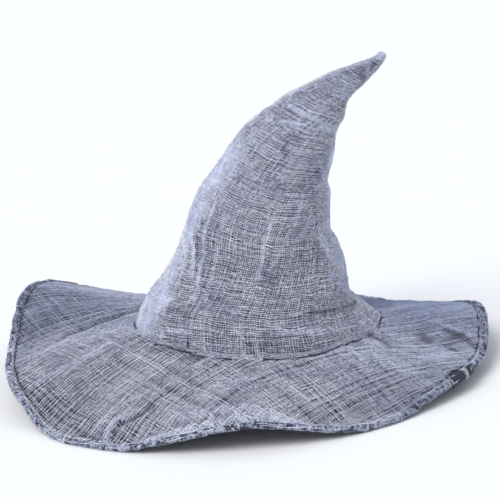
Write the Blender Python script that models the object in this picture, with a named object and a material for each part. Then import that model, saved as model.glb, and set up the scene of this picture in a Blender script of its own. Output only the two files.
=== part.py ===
"""A soft wizard hat: pale gauze over dark cloth, with a leaning crown and a wavy brim.

The hat stands on its brim. X runs to the right, Y to the back and Z up, in metres, and the
origin is on the floor under the middle of the round brim. Angles run anticlockwise from +X,
seen from above. The crown leans over to the right.
"""

import math
from collections import namedtuple

import bmesh
import bpy

# Driving sizes, in metres and degrees
BRIM_RADIUS = 0.215
BRIM_RISE = 0.0666
BRIM_FOLD = 0.006
BRIM_CURL = 0.2
HEM_WIDTH = 0.007
HEM_WALL = 0.001
TEAR_ANGLE = 322.5
TEAR_LENGTH = 0.024
HEAD_HALF_WIDTH = 0.091
HEAD_HALF_DEPTH = 0.095
HEAD_OFFSET = 0.0105
SEAM_HEIGHT = 0.0422
SEAM_TILT = 4.7
CROWN_RISE = 0.2245
CROWN_LEAN = 0.1313
CROWN_SLACK = 0.016
CROWN_FOLD = 0.0035
LINING_WALL = 0.0015
GAUZE_WALL = 0.0012
CLEARANCE = 0.0003

# Every layer is divided into the same columns, so that layers lie parallel
AROUND = 52
STEP = 2 * math.pi / AROUND

# How sharply the loose gauze gathers: in four lobes at the foot, evenly above it
FOOT_GATHER = 4
SIDE_GATHER = 2

# The wavy edge of the brim: its height over the floor as a share of BRIM_RISE, and how far it
# reaches as a share of BRIM_RADIUS. Low spots of no height are where the hat stands.
Edge = namedtuple("Edge", "angle height reach")
BRIM_EDGE = (
    Edge(0, 0.48, 1.0),
    Edge(20, 0.25, 1.0),
    Edge(30, 0.10, 1.0),
    Edge(38, 0.0, 1.0),
    Edge(53, 0.0, 1.0),
    Edge(62, 0.05, 1.0),
    Edge(75, 0.0, 1.0),
    Edge(92, 0.0, 1.0),
    Edge(105, 0.12, 1.0),
    Edge(120, 0.34, 1.0),
    Edge(140, 0.80, 1.0),
    Edge(151, 1.0, 1.0),
    Edge(160, 0.92, 1.0),
    Edge(170, 0.51, 1.0),
    Edge(180, 0.41, 1.0),
    Edge(200, 0.31, 0.986),
    Edge(210, 0.15, 0.99),
    Edge(217, 0.0, 1.0),
    Edge(240, 0.0, 1.004),
    Edge(250, 0.12, 1.0),
    Edge(269, 0.29, 1.0),
    Edge(280, 0.18, 1.0),
    Edge(290, 0.04, 1.0),
    Edge(294, 0.0, 1.0),
    Edge(305, 0.0, 0.997),
    Edge(312, 0.09, 0.993),
    Edge(330, 0.18, 1.0),
    Edge(340, 0.14, 1.0),
    Edge(350, 0.30, 1.0),
)

# Ridges and valleys across the brim. Out is the share of the way from the head opening to the
# hem, reach is how far it runs that way, spread is its half width in degrees, and lift is a
# share of BRIM_FOLD.
BrimFold = namedtuple("BrimFold", "angle spread out reach lift")
BRIM_FOLDS = (
    BrimFold(159, 12, 0.55, 0.30, -1.0),
    BrimFold(184, 12, 0.60, 0.25, 0.6),
    BrimFold(239, 8, 0.80, 0.20, 0.7),
    BrimFold(262, 20, 0.84, 0.16, 0.9),
    BrimFold(304, 9, 0.45, 0.25, 0.7),
    BrimFold(335, 10, 0.62, 0.25, -0.7),
    BrimFold(12, 12, 0.55, 0.25, 0.6),
    BrimFold(68, 14, 0.60, 0.25, 0.8),
    BrimFold(112, 12, 0.60, 0.25, -0.6),
)

# Rings between the crown's foot and the hem, as shares of the way
BRIM_RINGS = (0.28, 0.56, 0.82)

# Sections of the crown's gauze from foot to tip. Up and lean place the middle, as shares of
# CROWN_RISE and CROWN_LEAN, width and depth are shares of the head's half width and half depth,
# and tilt lifts the left side, in degrees. The slacks say how far the gauze stands off its
# lining at the left, the right, and the front and back, as shares of CROWN_SLACK.
Section = namedtuple("Section", "up lean width depth tilt slack_left slack_right slack_front")
CROWN_SECTIONS = (
    Section(0.0, 0.020, 1.168, 1.074, 4.7, 0.57, 0.89, 0.29),
    Section(0.062, 0.002, 1.062, 1.000, 5.3, 0.51, 0.45, 0.09),
    Section(0.116, -0.015, 0.961, 0.904, 5.6, 0.48, 0.09, 0.04),
    Section(0.175, 0.028, 0.890, 0.798, 5.1, 0.36, 0.33, 0.02),
    Section(0.256, 0.067, 0.815, 0.701, 5.0, 0.39, 0.76, 0.02),
    Section(0.327, 0.087, 0.752, 0.639, 7.1, 0.33, 0.89, 0.02),
    Section(0.377, 0.078, 0.682, 0.614, 7.3, 0.20, 0.51, 0.02),
    Section(0.467, 0.118, 0.652, 0.584, 6.8, 0.07, 0.57, 0.02),
    Section(0.526, 0.146, 0.620, 0.556, 5.6, 0.04, 0.45, 0.02),
    Section(0.565, 0.176, 0.550, 0.504, 8.6, 0.01, 0.11, 0.01),
    Section(0.630, 0.241, 0.516, 0.474, 9.1, 0.01, 0.07, 0.01),
    Section(0.701, 0.306, 0.476, 0.444, 9.8, 0.01, 0.04, 0.01),
    Section(0.747, 0.348, 0.425, 0.364, 9.3, 0.00, 0.00, 0.00),
    Section(0.790, 0.432, 0.404, 0.318, 6.7, 0.00, 0.01, 0.00),
    Section(0.838, 0.500, 0.324, 0.248, 8.9, 0.00, 0.01, 0.00),
    Section(0.880, 0.613, 0.221, 0.171, 18.8, 0.00, 0.00, 0.00),
    Section(0.917, 0.737, 0.156, 0.130, 30.0, 0.00, 0.00, 0.00),
    Section(0.947, 0.855, 0.104, 0.091, 34.7, 0.00, 0.00, 0.00),
    Section(0.981, 0.963, 0.053, 0.049, 34.0, 0.00, 0.00, 0.00),
)

# Raised folds that run up the crown's gauze, from one height and angle to another. Heights are
# shares of CROWN_RISE, spread is a half width in degrees, and lift is a share of CROWN_FOLD.
CrownFold = namedtuple("CrownFold", "low_up low_angle high_up high_angle spread lift")
CROWN_FOLDS = (
    CrownFold(0.10, 196, 0.50, 214, 8, 0.7),
    CrownFold(0.12, 213, 0.55, 236, 7, 0.6),
    CrownFold(0.18, 261, 0.48, 292, 7, 1.0),
    CrownFold(0.03, 300, 0.24, 325, 8, 0.9),
    CrownFold(0.30, 330, 0.80, 312, 8, 0.7),
    CrownFold(0.08, 30, 0.55, 52, 9, 0.9),
    CrownFold(0.05, 100, 0.45, 80, 8, 0.8),
    CrownFold(0.10, 150, 0.60, 132, 9, 0.8),
)

DARK_CLOTH = (0.035, 0.040, 0.058)
PALE_GAUZE = (0.50, 0.55, 0.70)
HEM_GAUZE = (0.42, 0.46, 0.60)


def clear_scene():
    """Remove the objects that a new scene holds."""
    for thing in list(bpy.context.scene.objects):
        bpy.data.objects.remove(thing, do_unlink=True)


def cloth_material(name, colour):
    """Make one matt cloth material."""
    material = bpy.data.materials.new(name)
    material.use_nodes = True
    shader = material.node_tree.nodes["Principled BSDF"]
    shader.inputs["Base Color"].default_value = (*colour, 1.0)
    shader.inputs["Roughness"].default_value = 0.9
    shader.inputs["Metallic"].default_value = 0.0
    material.diffuse_color = (*colour, 1.0)
    return material


def turn_between(first, second):
    """Give the smaller turn between two angles, in degrees."""
    return abs((first - second + 180) % 360 - 180)


def bump(distance, spread):
    """Give 1 at no distance, fading smoothly to nothing beyond about three spreads."""
    return math.exp(-0.5 * (distance / spread) ** 2)


def mix(first, second, share):
    """Give the point part of the way between two points."""
    return tuple(one + (other - one) * share for one, other in zip(first, second))


def read_edge(column, angle):
    """Read a column of the edge's table by a smooth curve that keeps level spots level."""
    turn = math.degrees(angle) % 360
    rows = BRIM_EDGE[-2:] + BRIM_EDGE + BRIM_EDGE[:3]
    turns = [row.angle for row in rows]
    turns[:2] = [value - 360 for value in turns[:2]]
    turns[-3:] = [value + 360 for value in turns[-3:]]
    values = [getattr(row, column) for row in rows]
    here = max(place for place in range(2, len(rows) - 2) if turns[place] <= turn)

    def slope(place):
        """Give the curve's slope at a row, nought at a high or low spot."""
        before = (values[place] - values[place - 1]) / (turns[place] - turns[place - 1])
        after = (values[place + 1] - values[place]) / (turns[place + 1] - turns[place])
        if before * after <= 0:
            return 0.0
        return 2 * before * after / (before + after)

    span = turns[here + 1] - turns[here]
    share = (turn - turns[here]) / span
    return (
        values[here] * (1 + 2 * share) * (1 - share) ** 2
        + values[here + 1] * share**2 * (3 - 2 * share)
        + span * slope(here) * share * (1 - share) ** 2
        + span * slope(here + 1) * share**2 * (share - 1)
    )


def edge_height(angle):
    """Give the height of the hem's underside."""
    return BRIM_RISE * read_edge("height", angle)


def tightest_slack():
    """Give the stand-off of gauze that lies close on its lining."""
    return GAUZE_WALL + 2 * CLEARANCE


def slack(section, angle, gather):
    """Give how far the gauze's outside stands off the lining's outside at one angle."""
    side = section.slack_right if math.cos(angle) > 0 else section.slack_left
    across = abs(math.cos(angle)) ** gather
    along = abs(math.sin(angle)) ** gather
    return tightest_slack() + CROWN_SLACK * (side * across + section.slack_front * along)


def foot_offset(angle):
    """Give how far outside the head opening the crown gauze's foot runs."""
    return LINING_WALL + slack(CROWN_SECTIONS[0], angle, FOOT_GATHER)


def head_edge(angle, offset):
    """Give the plan point that lies an offset outside the head opening."""
    return (
        HEAD_OFFSET + (HEAD_HALF_WIDTH + offset) * math.cos(angle),
        (HEAD_HALF_DEPTH + offset) * math.sin(angle),
    )


def rim_point(angle, inset):
    """Give the plan point that lies an inset inside the edge of the brim."""
    reach = BRIM_RADIUS * read_edge("reach", angle) - inset
    return (reach * math.cos(angle), reach * math.sin(angle))


def seam_height(point):
    """Give the height of the tilted plane in which the brim meets the crown."""
    return SEAM_HEIGHT - math.tan(math.radians(SEAM_TILT)) * (point[0] - HEAD_OFFSET)


def brim_height(angle, point):
    """Give the height of the brim lining's underside at a plan point of one column."""
    inner = head_edge(angle, 0)
    outer = rim_point(angle, HEM_WIDTH)
    share = min(1.0, math.dist(inner, point) / math.dist(inner, outer))
    start = seam_height(inner)
    end = edge_height(angle) + HEM_WALL + CLEARANCE
    eased = share * (1 - BRIM_CURL + BRIM_CURL * share)
    lift = 0.0
    for fold in BRIM_FOLDS:
        near = bump(turn_between(math.degrees(angle), fold.angle), fold.spread)
        lift += fold.lift * near * bump(share - fold.out, fold.reach)
    fade = math.sin(math.pi * share)
    return start + (end - start) * eased + BRIM_FOLD * lift * fade


def brim_rings():
    """Give the loops of the brim lining's underside, from the head opening to the edge."""
    rings = []
    for angle in (STEP * column for column in range(AROUND)):
        foot = head_edge(angle, foot_offset(angle))
        hem = rim_point(angle, HEM_WIDTH)
        edge = rim_point(angle, HEM_WALL + CLEARANCE)
        plan = [head_edge(angle, 0), head_edge(angle, LINING_WALL + CLEARANCE), foot]
        plan += [mix(foot, hem, share) for share in BRIM_RINGS]
        plan += [hem, edge]
        rings.append([(*point, brim_height(angle, point)) for point in plan])
    return [list(loop) for loop in zip(*rings)]


def raised(loop, rise):
    """Give a loop lifted straight up."""
    return [(x, y, z + rise) for x, y, z in loop]


def along_brim(near_loop, far_loop, offsets, rise):
    """Give the loop on the brim that lies at its own offset from the head opening.

    The loop keeps to the straight lines between two rings of the brim.
    """
    loop = []
    for column, (near, far) in enumerate(zip(near_loop, far_loop)):
        point = head_edge(STEP * column, offsets[column])
        share = math.dist(near[:2], point) / math.dist(near[:2], far[:2])
        x, y, z = mix(near, far, share)
        loop.append((x, y, z + rise))
    return loop


def section_middle(section):
    """Give the middle of a crown section."""
    return (HEAD_OFFSET + CROWN_LEAN * section.lean, 0.0, crown_height(section.up))


def crown_height(up):
    """Give the height at a share of the crown's rise."""
    return SEAM_HEIGHT + LINING_WALL + CLEARANCE + CROWN_RISE * up


def fold_lift(section, angle):
    """Give how far the folds lift the gauze at one angle of a section."""
    lift = 0.0
    for fold in CROWN_FOLDS:
        share = (section.up - fold.low_up) / (fold.high_up - fold.low_up)
        middle = fold.low_angle + (fold.high_angle - fold.low_angle) * share
        along = math.sin(math.pi * share) if 0 < share < 1 else 0.0
        lift += fold.lift * along * bump(turn_between(math.degrees(angle), middle), fold.spread)
    return CROWN_FOLD * lift


def section_loop(section, inset_at):
    """Give the loop of a crown section, shrunk by an inset that may differ with the angle."""
    middle = section_middle(section)
    tilt = math.radians(section.tilt)
    loop = []
    for angle in (STEP * column for column in range(AROUND)):
        across = (HEAD_HALF_WIDTH * section.width - inset_at(angle)) * math.cos(angle)
        along = (HEAD_HALF_DEPTH * section.depth - inset_at(angle)) * math.sin(angle)
        loop.append(
            (
                middle[0] + across * math.cos(tilt),
                along,
                middle[2] - across * math.sin(tilt),
            )
        )
    return loop


def gauze_loop(section, inset):
    """Give a loop of the crown gauze, an inset inside its outer side."""
    return section_loop(section, lambda angle: inset - fold_lift(section, angle))


def lining_loop(section, inset):
    """Give a loop of the crown lining, an inset inside its outer side."""
    return section_loop(section, lambda angle: inset + slack(section, angle, SIDE_GATHER))


def crown_tip():
    """Give the point of the crown."""
    return (HEAD_OFFSET + CROWN_LEAN, 0.0, crown_height(1.0))


def add_band(body, near, far):
    """Join two loops by triangles whose diagonals all run the same way."""
    for here in range(len(near)):
        there = (here + 1) % len(near)
        body.faces.new((near[here], near[there], far[there]))
        body.faces.new((near[here], far[there], far[here]))


def add_point(body, loop, point):
    """Close a loop with triangles that meet at a point."""
    top = body.verts.new(point)
    for here in range(len(loop)):
        body.faces.new((loop[here], loop[(here + 1) % len(loop)], top))


def finish_body(name, body, colour):
    """Turn a closed mesh into a named object with its faces out and its own material."""
    bmesh.ops.recalc_face_normals(body, faces=body.faces)
    mesh = bpy.data.meshes.new(name)
    body.to_mesh(mesh)
    body.free()
    mesh.shade_smooth()
    thing = bpy.data.objects.new(name, mesh)
    mesh.materials.append(cloth_material(name + "_cloth", colour))
    bpy.context.scene.collection.objects.link(thing)
    return thing


def make_flat_layer(name, loops, wall, colour):
    """Make a cloth ring from the loops of its underside and its thickness."""
    body = bmesh.new()
    under = [[body.verts.new(point) for point in loop] for loop in loops]
    over = [[body.verts.new(point) for point in raised(loop, wall)] for loop in loops]
    for near, far in zip(under, under[1:]):
        add_band(body, near, far)
    for near, far in zip(over, over[1:]):
        add_band(body, near, far)
    add_band(body, under[0], over[0])
    add_band(body, under[-1], over[-1])
    return finish_body(name, body, colour)


def make_cone(name, outer_loops, outer_point, inner_loops, inner_point, colour):
    """Make a hollow cone of cloth, open at the foot and closed at its point."""
    body = bmesh.new()
    outer = [[body.verts.new(point) for point in loop] for loop in outer_loops]
    inner = [[body.verts.new(point) for point in loop] for loop in inner_loops]
    for near, far in zip(outer, outer[1:]):
        add_band(body, near, far)
    for near, far in zip(inner, inner[1:]):
        add_band(body, near, far)
    add_band(body, inner[0], outer[0])
    add_point(body, outer[-1], outer_point)
    add_point(body, inner[-1], inner_point)
    return finish_body(name, body, colour)


def make_brim_lining(rings):
    """Make the dark cloth under the brim."""
    return make_flat_layer("brim_lining", rings, LINING_WALL, DARK_CLOTH)


def make_brim_gauze(rings):
    """Make the gauze on top of the brim, from just outside the crown's lining to the edge."""
    loops = [raised(loop, LINING_WALL + CLEARANCE) for loop in rings[1:]]
    return make_flat_layer("brim_gauze", loops, GAUZE_WALL, PALE_GAUZE)


def make_crown_lining(rings):
    """Make the dark cone, which stands on the brim lining round the head opening."""
    rise = LINING_WALL + CLEARANCE
    foot_inner = along_brim(rings[0], rings[1], [0.0] * AROUND, rise)
    foot_outer = along_brim(rings[0], rings[1], [LINING_WALL] * AROUND, rise)
    outer_sections = CROWN_SECTIONS[1:-1]
    inner_sections = CROWN_SECTIONS[1:-2]
    last_outer = section_middle(CROWN_SECTIONS[-1])
    last_inner = section_middle(CROWN_SECTIONS[-2])
    return make_cone(
        "crown_lining",
        [foot_outer] + [lining_loop(section, 0.0) for section in outer_sections],
        mix(section_middle(outer_sections[-1]), last_outer, 0.5),
        [foot_inner] + [lining_loop(section, LINING_WALL) for section in inner_sections],
        mix(section_middle(inner_sections[-1]), last_inner, 0.5),
        DARK_CLOTH,
    )


def make_crown_gauze(rings):
    """Make the pale cone, whose gathered foot stands on the brim's gauze."""
    rise = LINING_WALL + CLEARANCE + GAUZE_WALL + CLEARANCE
    feet = [foot_offset(STEP * column) for column in range(AROUND)]
    foot_outer = along_brim(rings[1], rings[2], feet, rise)
    foot_inner = along_brim(rings[1], rings[2], [foot - GAUZE_WALL for foot in feet], rise)
    sections = CROWN_SECTIONS[1:]
    return make_cone(
        "crown_gauze",
        [foot_outer] + [gauze_loop(section, 0.0) for section in sections],
        crown_tip(),
        [foot_inner] + [gauze_loop(section, GAUZE_WALL) for section in sections],
        mix(section_middle(sections[-1]), crown_tip(), 0.4),
        PALE_GAUZE,
    )


def hem_profile(column):
    """Give the corners of the folded hem at one column, round its open channel."""
    angle = STEP * column
    floor = edge_height(angle)
    inside = rim_point(angle, HEM_WIDTH)
    corner = rim_point(angle, HEM_WALL)
    outside = rim_point(angle, 0)
    slot_low = floor + HEM_WALL
    slot_high = slot_low + LINING_WALL + GAUZE_WALL + 3 * CLEARANCE
    top = slot_high + HEM_WALL
    return [
        (*inside, floor),
        (*outside, floor),
        (*outside, top),
        (*inside, top),
        (*inside, slot_high),
        (*corner, slot_high),
        (*corner, slot_low),
        (*inside, slot_low),
    ]


def hem_station(place):
    """Give the hem's corners at any place round the brim, counted in columns."""
    column = math.floor(place)
    here = hem_profile(column)
    there = hem_profile(column + 1)
    return [mix(one, other, place - column) for one, other in zip(here, there)]


def make_brim_hem():
    """Make the folded gauze hem, a channel round the edge that is open at the tear."""
    middle = TEAR_ANGLE / math.degrees(STEP)
    half = TEAR_LENGTH / 2 / BRIM_RADIUS / STEP
    start = middle + half
    end = middle - half + AROUND
    places = [start] + list(range(math.ceil(start), math.ceil(end))) + [end]
    body = bmesh.new()
    stations = [[body.verts.new(point) for point in hem_station(place)] for place in places]
    for near, far in zip(stations, stations[1:]):
        add_band(body, near, far)
    for station in (stations[0], stations[-1]):
        low, outside, high, inside = station[:4]
        slot_top, corner_top, corner_low, slot_low = station[4:]
        body.faces.new((low, outside, corner_low, slot_low))
        body.faces.new((outside, high, corner_top, corner_low))
        body.faces.new((high, inside, slot_top, corner_top))
    return finish_body("brim_hem", body, HEM_GAUZE)


def main():
    """Build the five pieces of the hat."""
    clear_scene()
    rings = brim_rings()
    make_brim_lining(rings)
    make_brim_gauze(rings)
    make_crown_lining(rings)
    make_crown_gauze(rings)
    make_brim_hem()


main()
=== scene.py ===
"""A wizard hat of pale, open gauze over dark cloth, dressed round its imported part.

Every length is in metres, in the part's own frame: X to the right, Y away from the camera and Z up.
"""

import logging
import math
from collections.abc import Mapping, Sequence
from dataclasses import dataclass, field, replace
from enum import Enum

import bpy
import numpy as np
from mathutils import Matrix, Vector
from mathutils.bvhtree import BVHTree


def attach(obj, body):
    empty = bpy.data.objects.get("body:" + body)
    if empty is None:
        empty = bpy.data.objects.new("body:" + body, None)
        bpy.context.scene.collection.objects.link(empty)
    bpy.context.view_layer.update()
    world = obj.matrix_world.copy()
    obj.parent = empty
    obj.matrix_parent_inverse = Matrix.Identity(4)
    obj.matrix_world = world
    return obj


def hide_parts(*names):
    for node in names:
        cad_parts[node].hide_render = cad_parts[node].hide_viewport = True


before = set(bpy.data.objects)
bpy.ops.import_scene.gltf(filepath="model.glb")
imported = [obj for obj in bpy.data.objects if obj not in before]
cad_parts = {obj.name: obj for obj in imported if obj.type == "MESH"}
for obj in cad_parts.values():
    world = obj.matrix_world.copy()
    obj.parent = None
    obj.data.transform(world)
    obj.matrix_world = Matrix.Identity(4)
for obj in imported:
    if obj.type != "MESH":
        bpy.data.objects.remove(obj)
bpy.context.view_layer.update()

Array = np.ndarray
LOG = logging.getLogger("wizard_hat")
BODY = "root"
TURN = 2 * math.pi

# The front as a share of a turn, and the length of a wave texture's wave at scale 1.
FRONT = 0.75
WAVE_LENGTH = 0.314

# How far the film lies below the gauze's middle, how far it rises where it is thick, and between
# which covers.
FILM_DEPTH = 0.0004
FILM_RISE = 0.0014
THICK_FILM = (0.6, 1.1)


class Slot(Enum):
    """The record's material slots."""

    GAUZE = "pale_gauze"
    DARK = "dark_cloth"
    HEM = "hem_gauze"


class Family(Enum):
    """The two sets of threads that cross in a weave."""

    WARP = 0
    WEFT = 1


# Shader trees


class Wire:
    """One output of a shader tree, with arithmetic on its value."""

    def __init__(self, dye: "DyePot", socket: bpy.types.NodeSocket) -> None:
        """Keep the tree and the socket."""
        self.dye = dye
        self.socket = socket

    def _math(self, operation: str, *values: object) -> "Wire":
        """Add a Math node.

        Args:
            operation: The node's operation.
            values: Its inputs in order, as wires or numbers.

        Returns:
            The node's output.
        """
        return self.dye.node(
            "ShaderNodeMath", {"operation": operation}, dict(enumerate(values))
        )

    def __add__(self, other: object) -> "Wire":
        """Add."""
        return self._math("ADD", self, other)

    def __radd__(self, other: object) -> "Wire":
        """Add, reflected."""
        return self._math("ADD", other, self)

    def __sub__(self, other: object) -> "Wire":
        """Subtract."""
        return self._math("SUBTRACT", self, other)

    def __rsub__(self, other: object) -> "Wire":
        """Subtract, reflected."""
        return self._math("SUBTRACT", other, self)

    def __mul__(self, other: object) -> "Wire":
        """Multiply."""
        return self._math("MULTIPLY", self, other)

    def __rmul__(self, other: object) -> "Wire":
        """Multiply, reflected."""
        return self._math("MULTIPLY", other, self)

    def __truediv__(self, other: object) -> "Wire":
        """Divide."""
        return self._math("DIVIDE", self, other)

    def __rtruediv__(self, other: object) -> "Wire":
        """Divide, reflected."""
        return self._math("DIVIDE", other, self)

    def at_least(self, other: object) -> "Wire":
        """Give the larger of two values."""
        return self._math("MAXIMUM", self, other)

    def at_most(self, other: object) -> "Wire":
        """Give the smaller of two values."""
        return self._math("MINIMUM", self, other)

    def between(self, low: float, high: float) -> "Wire":
        """Give low where the value is 0 and high where it is 1."""
        return low + self * (high - low)

    def rise(self, low: float, high: float) -> "Wire":
        """Give a smooth step from 0 at low to 1 at high."""
        return self.dye.node(
            "ShaderNodeMapRange",
            {"interpolation_type": "SMOOTHSTEP", "clamp": True},
            {"Value": self, "From Min": low, "From Max": high},
        )


class DyePot:
    """A material's shader tree, with a Principled shader at its end."""

    def __init__(self, name: str) -> None:
        """Start the material.

        Args:
            name: The material's name.
        """
        self.material = bpy.data.materials.new(name)
        self.material.use_nodes = True
        self.tree = self.material.node_tree
        self.tree.nodes.clear()
        self.shader = self.tree.nodes.new("ShaderNodeBsdfPrincipled")
        out = self.tree.nodes.new("ShaderNodeOutputMaterial")
        self.tree.links.new(self.shader.outputs[0], out.inputs["Surface"])

    def feed(self, socket: bpy.types.NodeSocket, value: object) -> None:
        """Link a wire to a socket, or set a constant on it."""
        if isinstance(value, Wire):
            self.tree.links.new(value.socket, socket)
        elif hasattr(value, "__len__") and len(value) == 3 and len(socket.default_value) == 4:
            socket.default_value = (*value, 1.0)
        else:
            socket.default_value = value

    def node(
        self,
        kind: str,
        settings: Mapping[str, object] | None = None,
        inputs: Mapping[str | int, object] | None = None,
        output: str | int = 0,
    ) -> Wire:
        """Add any node.

        Args:
            kind: The node's type.
            settings: Its own settings, set before its sockets.
            inputs: Values or wires by socket name or number.
            output: The output that is wanted.

        Returns:
            That output as a wire.
        """
        made = self.tree.nodes.new(kind)
        for key, value in (settings or {}).items():
            setattr(made, key, value)
        for key, value in (inputs or {}).items():
            self.feed(made.inputs[key], value)
        return Wire(self, made.outputs[output])

    def surface(self, specular: float = 0.5, **inputs: object) -> None:
        """Set the shader's sockets, named with _ for a space."""
        self.feed(self.shader.inputs["Specular IOR Level"], specular)
        for key, value in inputs.items():
            self.feed(self.shader.inputs[key.replace("_", " ").title()], value)

    def place(self) -> Wire:
        """Give the point on the part."""
        return self.node("ShaderNodeTexCoord", output="Object")

    def value(self, name: str) -> Wire:
        """Give a value that the mesh stores under a name."""
        return self.node("ShaderNodeAttribute", {"attribute_name": name}, output="Fac")

    def flat(self, stretch: Sequence[float] = (1, 1, 1), turn: float = 0.0) -> Wire:
        """Give the place on the flat cloth, turned and then stretched."""
        here = self.node("ShaderNodeAttribute", {"attribute_name": "flat"}, output="Vector")
        turned = self.node(
            "ShaderNodeVectorRotate", {"rotation_type": "Z_AXIS"}, {"Vector": here, "Angle": turn}
        )
        return self.node(
            "ShaderNodeVectorMath", {"operation": "MULTIPLY"}, {0: turned, 1: tuple(stretch)}
        )

    def noise(self, where: Wire, scale: float, detail: float = 3.0, rough: float = 0.55) -> Wire:
        """Give a noise from 0 to 1 at a place."""
        return self.node(
            "ShaderNodeTexNoise",
            {"noise_dimensions": "3D"},
            {"Vector": where, "Scale": scale, "Detail": detail, "Roughness": rough},
        )

    def blend(self, share: object, first: object, second: object) -> Wire:
        """Mix two colours by a share."""
        mixed = self.tree.nodes.new("ShaderNodeMix")
        mixed.data_type = "RGBA"
        self.feed(mixed.inputs[0], share)
        self.feed(mixed.inputs[6], first)
        self.feed(mixed.inputs[7], second)
        return Wire(self, mixed.outputs[2])

    def relief(self, height: Wire, distance: float, strength: float = 1.0) -> Wire:
        """Give the normal of a bumped surface."""
        return self.node(
            "ShaderNodeBump",
            {},
            {"Height": height, "Distance": distance, "Strength": strength},
            "Normal",
        )


@dataclass(frozen=True)
class GauzeThread:
    """Spun cotton thread, dyed a pale lavender grey, uneven along its length, and darkened towards
    a painted shade where its stored tone is below 1.
    """

    name: str = "gauze_thread"
    pale: tuple[float, float, float] = (0.90, 0.90, 0.98)
    shaded: tuple[float, float, float] = (0.36, 0.38, 0.53)
    # Painted shade: the colour that a tone below 1 blends in, for the back, the right and the tip,
    # which get less light.
    painted_shade: tuple[float, float, float] = (0.25, 0.30, 0.47)
    patch: float = 34.0
    patch_share: float = 0.35
    slub: float = 420.0
    slub_share: float = 0.85
    edges: tuple[float, float] = (0.44, 0.72)
    rough: tuple[float, float] = (0.72, 0.97)
    fuzz: float = 1500.0
    fuzz_depth: float = 0.0002

    def material(self) -> bpy.types.Material:
        """Make the material."""
        dye = DyePot(self.name)
        here = dye.place()
        patches = dye.noise(here, self.patch)
        slubs = dye.noise(here, self.slub, 2.0)
        tone = (patches * self.patch_share + slubs * self.slub_share).rise(*self.edges)
        dyed = dye.blend(tone, self.shaded, self.pale)
        dye.surface(
            # Painted shade: blend towards the shade colour where the stored tone is below 1.
            base_color=dye.blend(dye.value("tone"), self.painted_shade, dyed),
            roughness=slubs.between(*self.rough),
            normal=dye.relief(dye.noise(here, self.fuzz, 2.0), self.fuzz_depth, 0.6),
            specular=0.2,
            sheen_weight=0.25,
        )
        return dye.material


@dataclass(frozen=True)
class GauzeVeil:
    """The gauze's finest fibres: a sheer film, thicker where the cloth is folded or bunched."""

    name: str
    warp_angle: float
    weft_angle: float
    pale: tuple[float, float, float] = (0.70, 0.755, 0.95)
    grey: tuple[float, float, float] = (0.34, 0.38, 0.54)
    cloud: float = 0.05
    fold: float = 0.45
    fibre: float = 0.10
    most: float = 0.93
    strand: float = 0.0038
    strand_length: float = 0.076
    cloud_scale: float = 55.0
    rough: tuple[float, float] = (0.8, 0.9)
    depth: float = 0.0004

    def strands(self, dye: DyePot, turn: float) -> Wire:
        """Give how strongly fine strands of one direction show."""
        where = dye.flat((1 / self.strand_length, 1 / self.strand, 1.0), -turn)
        return dye.noise(where, 1.0, 2.0, 0.6).rise(0.48, 0.72)

    def material(self) -> bpy.types.Material:
        """Make the material."""
        dye = DyePot(self.name)
        cover = dye.value("cover")
        fine = self.strands(dye, self.warp_angle).at_least(self.strands(dye, self.weft_angle))
        cloud = dye.noise(dye.flat(), self.cloud_scale, 4.0).rise(0.35, 0.7)
        shown = cover * self.fold + fine * self.fibre + cloud * self.cloud
        # Paler where the cover is high and greyer where it is low: thicker or opener gauze, and
        # with it the creases' painted highlight and painted shade, and the painted light on the
        # crown's right side.
        tone = (cloud * 0.3 + fine * 0.5 + cover * 0.2 + 0.2).at_most(1.0)
        dye.surface(
            base_color=dye.blend(tone, self.grey, self.pale),
            roughness=fine.between(*self.rough),
            alpha=shown.at_least(0.0).at_most(self.most),
            normal=dye.relief(fine, self.depth, 0.7),
            specular=0.15,
        )
        return dye.material


@dataclass(frozen=True)
class DarkCloth:
    """Plain woven cloth, near black with a little navy."""

    name: str = "dark_weave"
    dark: tuple[float, float, float] = (0.020, 0.023, 0.040)
    faded: tuple[float, float, float] = (0.050, 0.056, 0.085)
    pitch: float = 0.0011
    wear_scale: float = 26.0
    rough: tuple[float, float] = (0.78, 0.93)
    depth: float = 0.0003

    def ribs(self, dye: DyePot, axis: str) -> Wire:
        """Give the weave's ribs along one axis of the flat cloth, a pitch apart."""
        settings = {"wave_type": "BANDS", "bands_direction": axis}
        scale = WAVE_LENGTH / self.pitch
        inputs = {"Vector": dye.flat(), "Scale": scale, "Distortion": 1.2, "Detail": 1.0}
        return dye.node("ShaderNodeTexWave", settings, inputs, "Fac")

    def material(self) -> bpy.types.Material:
        """Make the material."""
        dye = DyePot(self.name)
        weave = self.ribs(dye, "X").at_least(self.ribs(dye, "Y"))
        wear = dye.noise(dye.place(), self.wear_scale, 4.0).rise(0.4, 0.75)
        dye.surface(
            base_color=dye.blend(wear * 0.7 + weave * 0.3, self.dark, self.faded),
            roughness=wear.between(*self.rough),
            normal=dye.relief(weave, self.depth, 0.8),
            sheen_weight=0.15,
        )
        return dye.material


@dataclass(frozen=True)
class DarkThread:
    """Near black sewing thread."""

    name: str = "dark_thread"
    dark: tuple[float, float, float] = (0.014, 0.016, 0.028)
    faded: tuple[float, float, float] = (0.045, 0.050, 0.080)
    twist: float = 700.0
    rough: tuple[float, float] = (0.7, 0.9)
    depth: float = 0.0003

    def material(self) -> bpy.types.Material:
        """Make the material."""
        dye = DyePot(self.name)
        twist = dye.noise(dye.place(), self.twist, 2.0)
        dye.surface(
            base_color=dye.blend(twist, self.dark, self.faded),
            roughness=twist.between(*self.rough),
            normal=dye.relief(twist, self.depth, 0.7),
        )
        return dye.material


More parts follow.
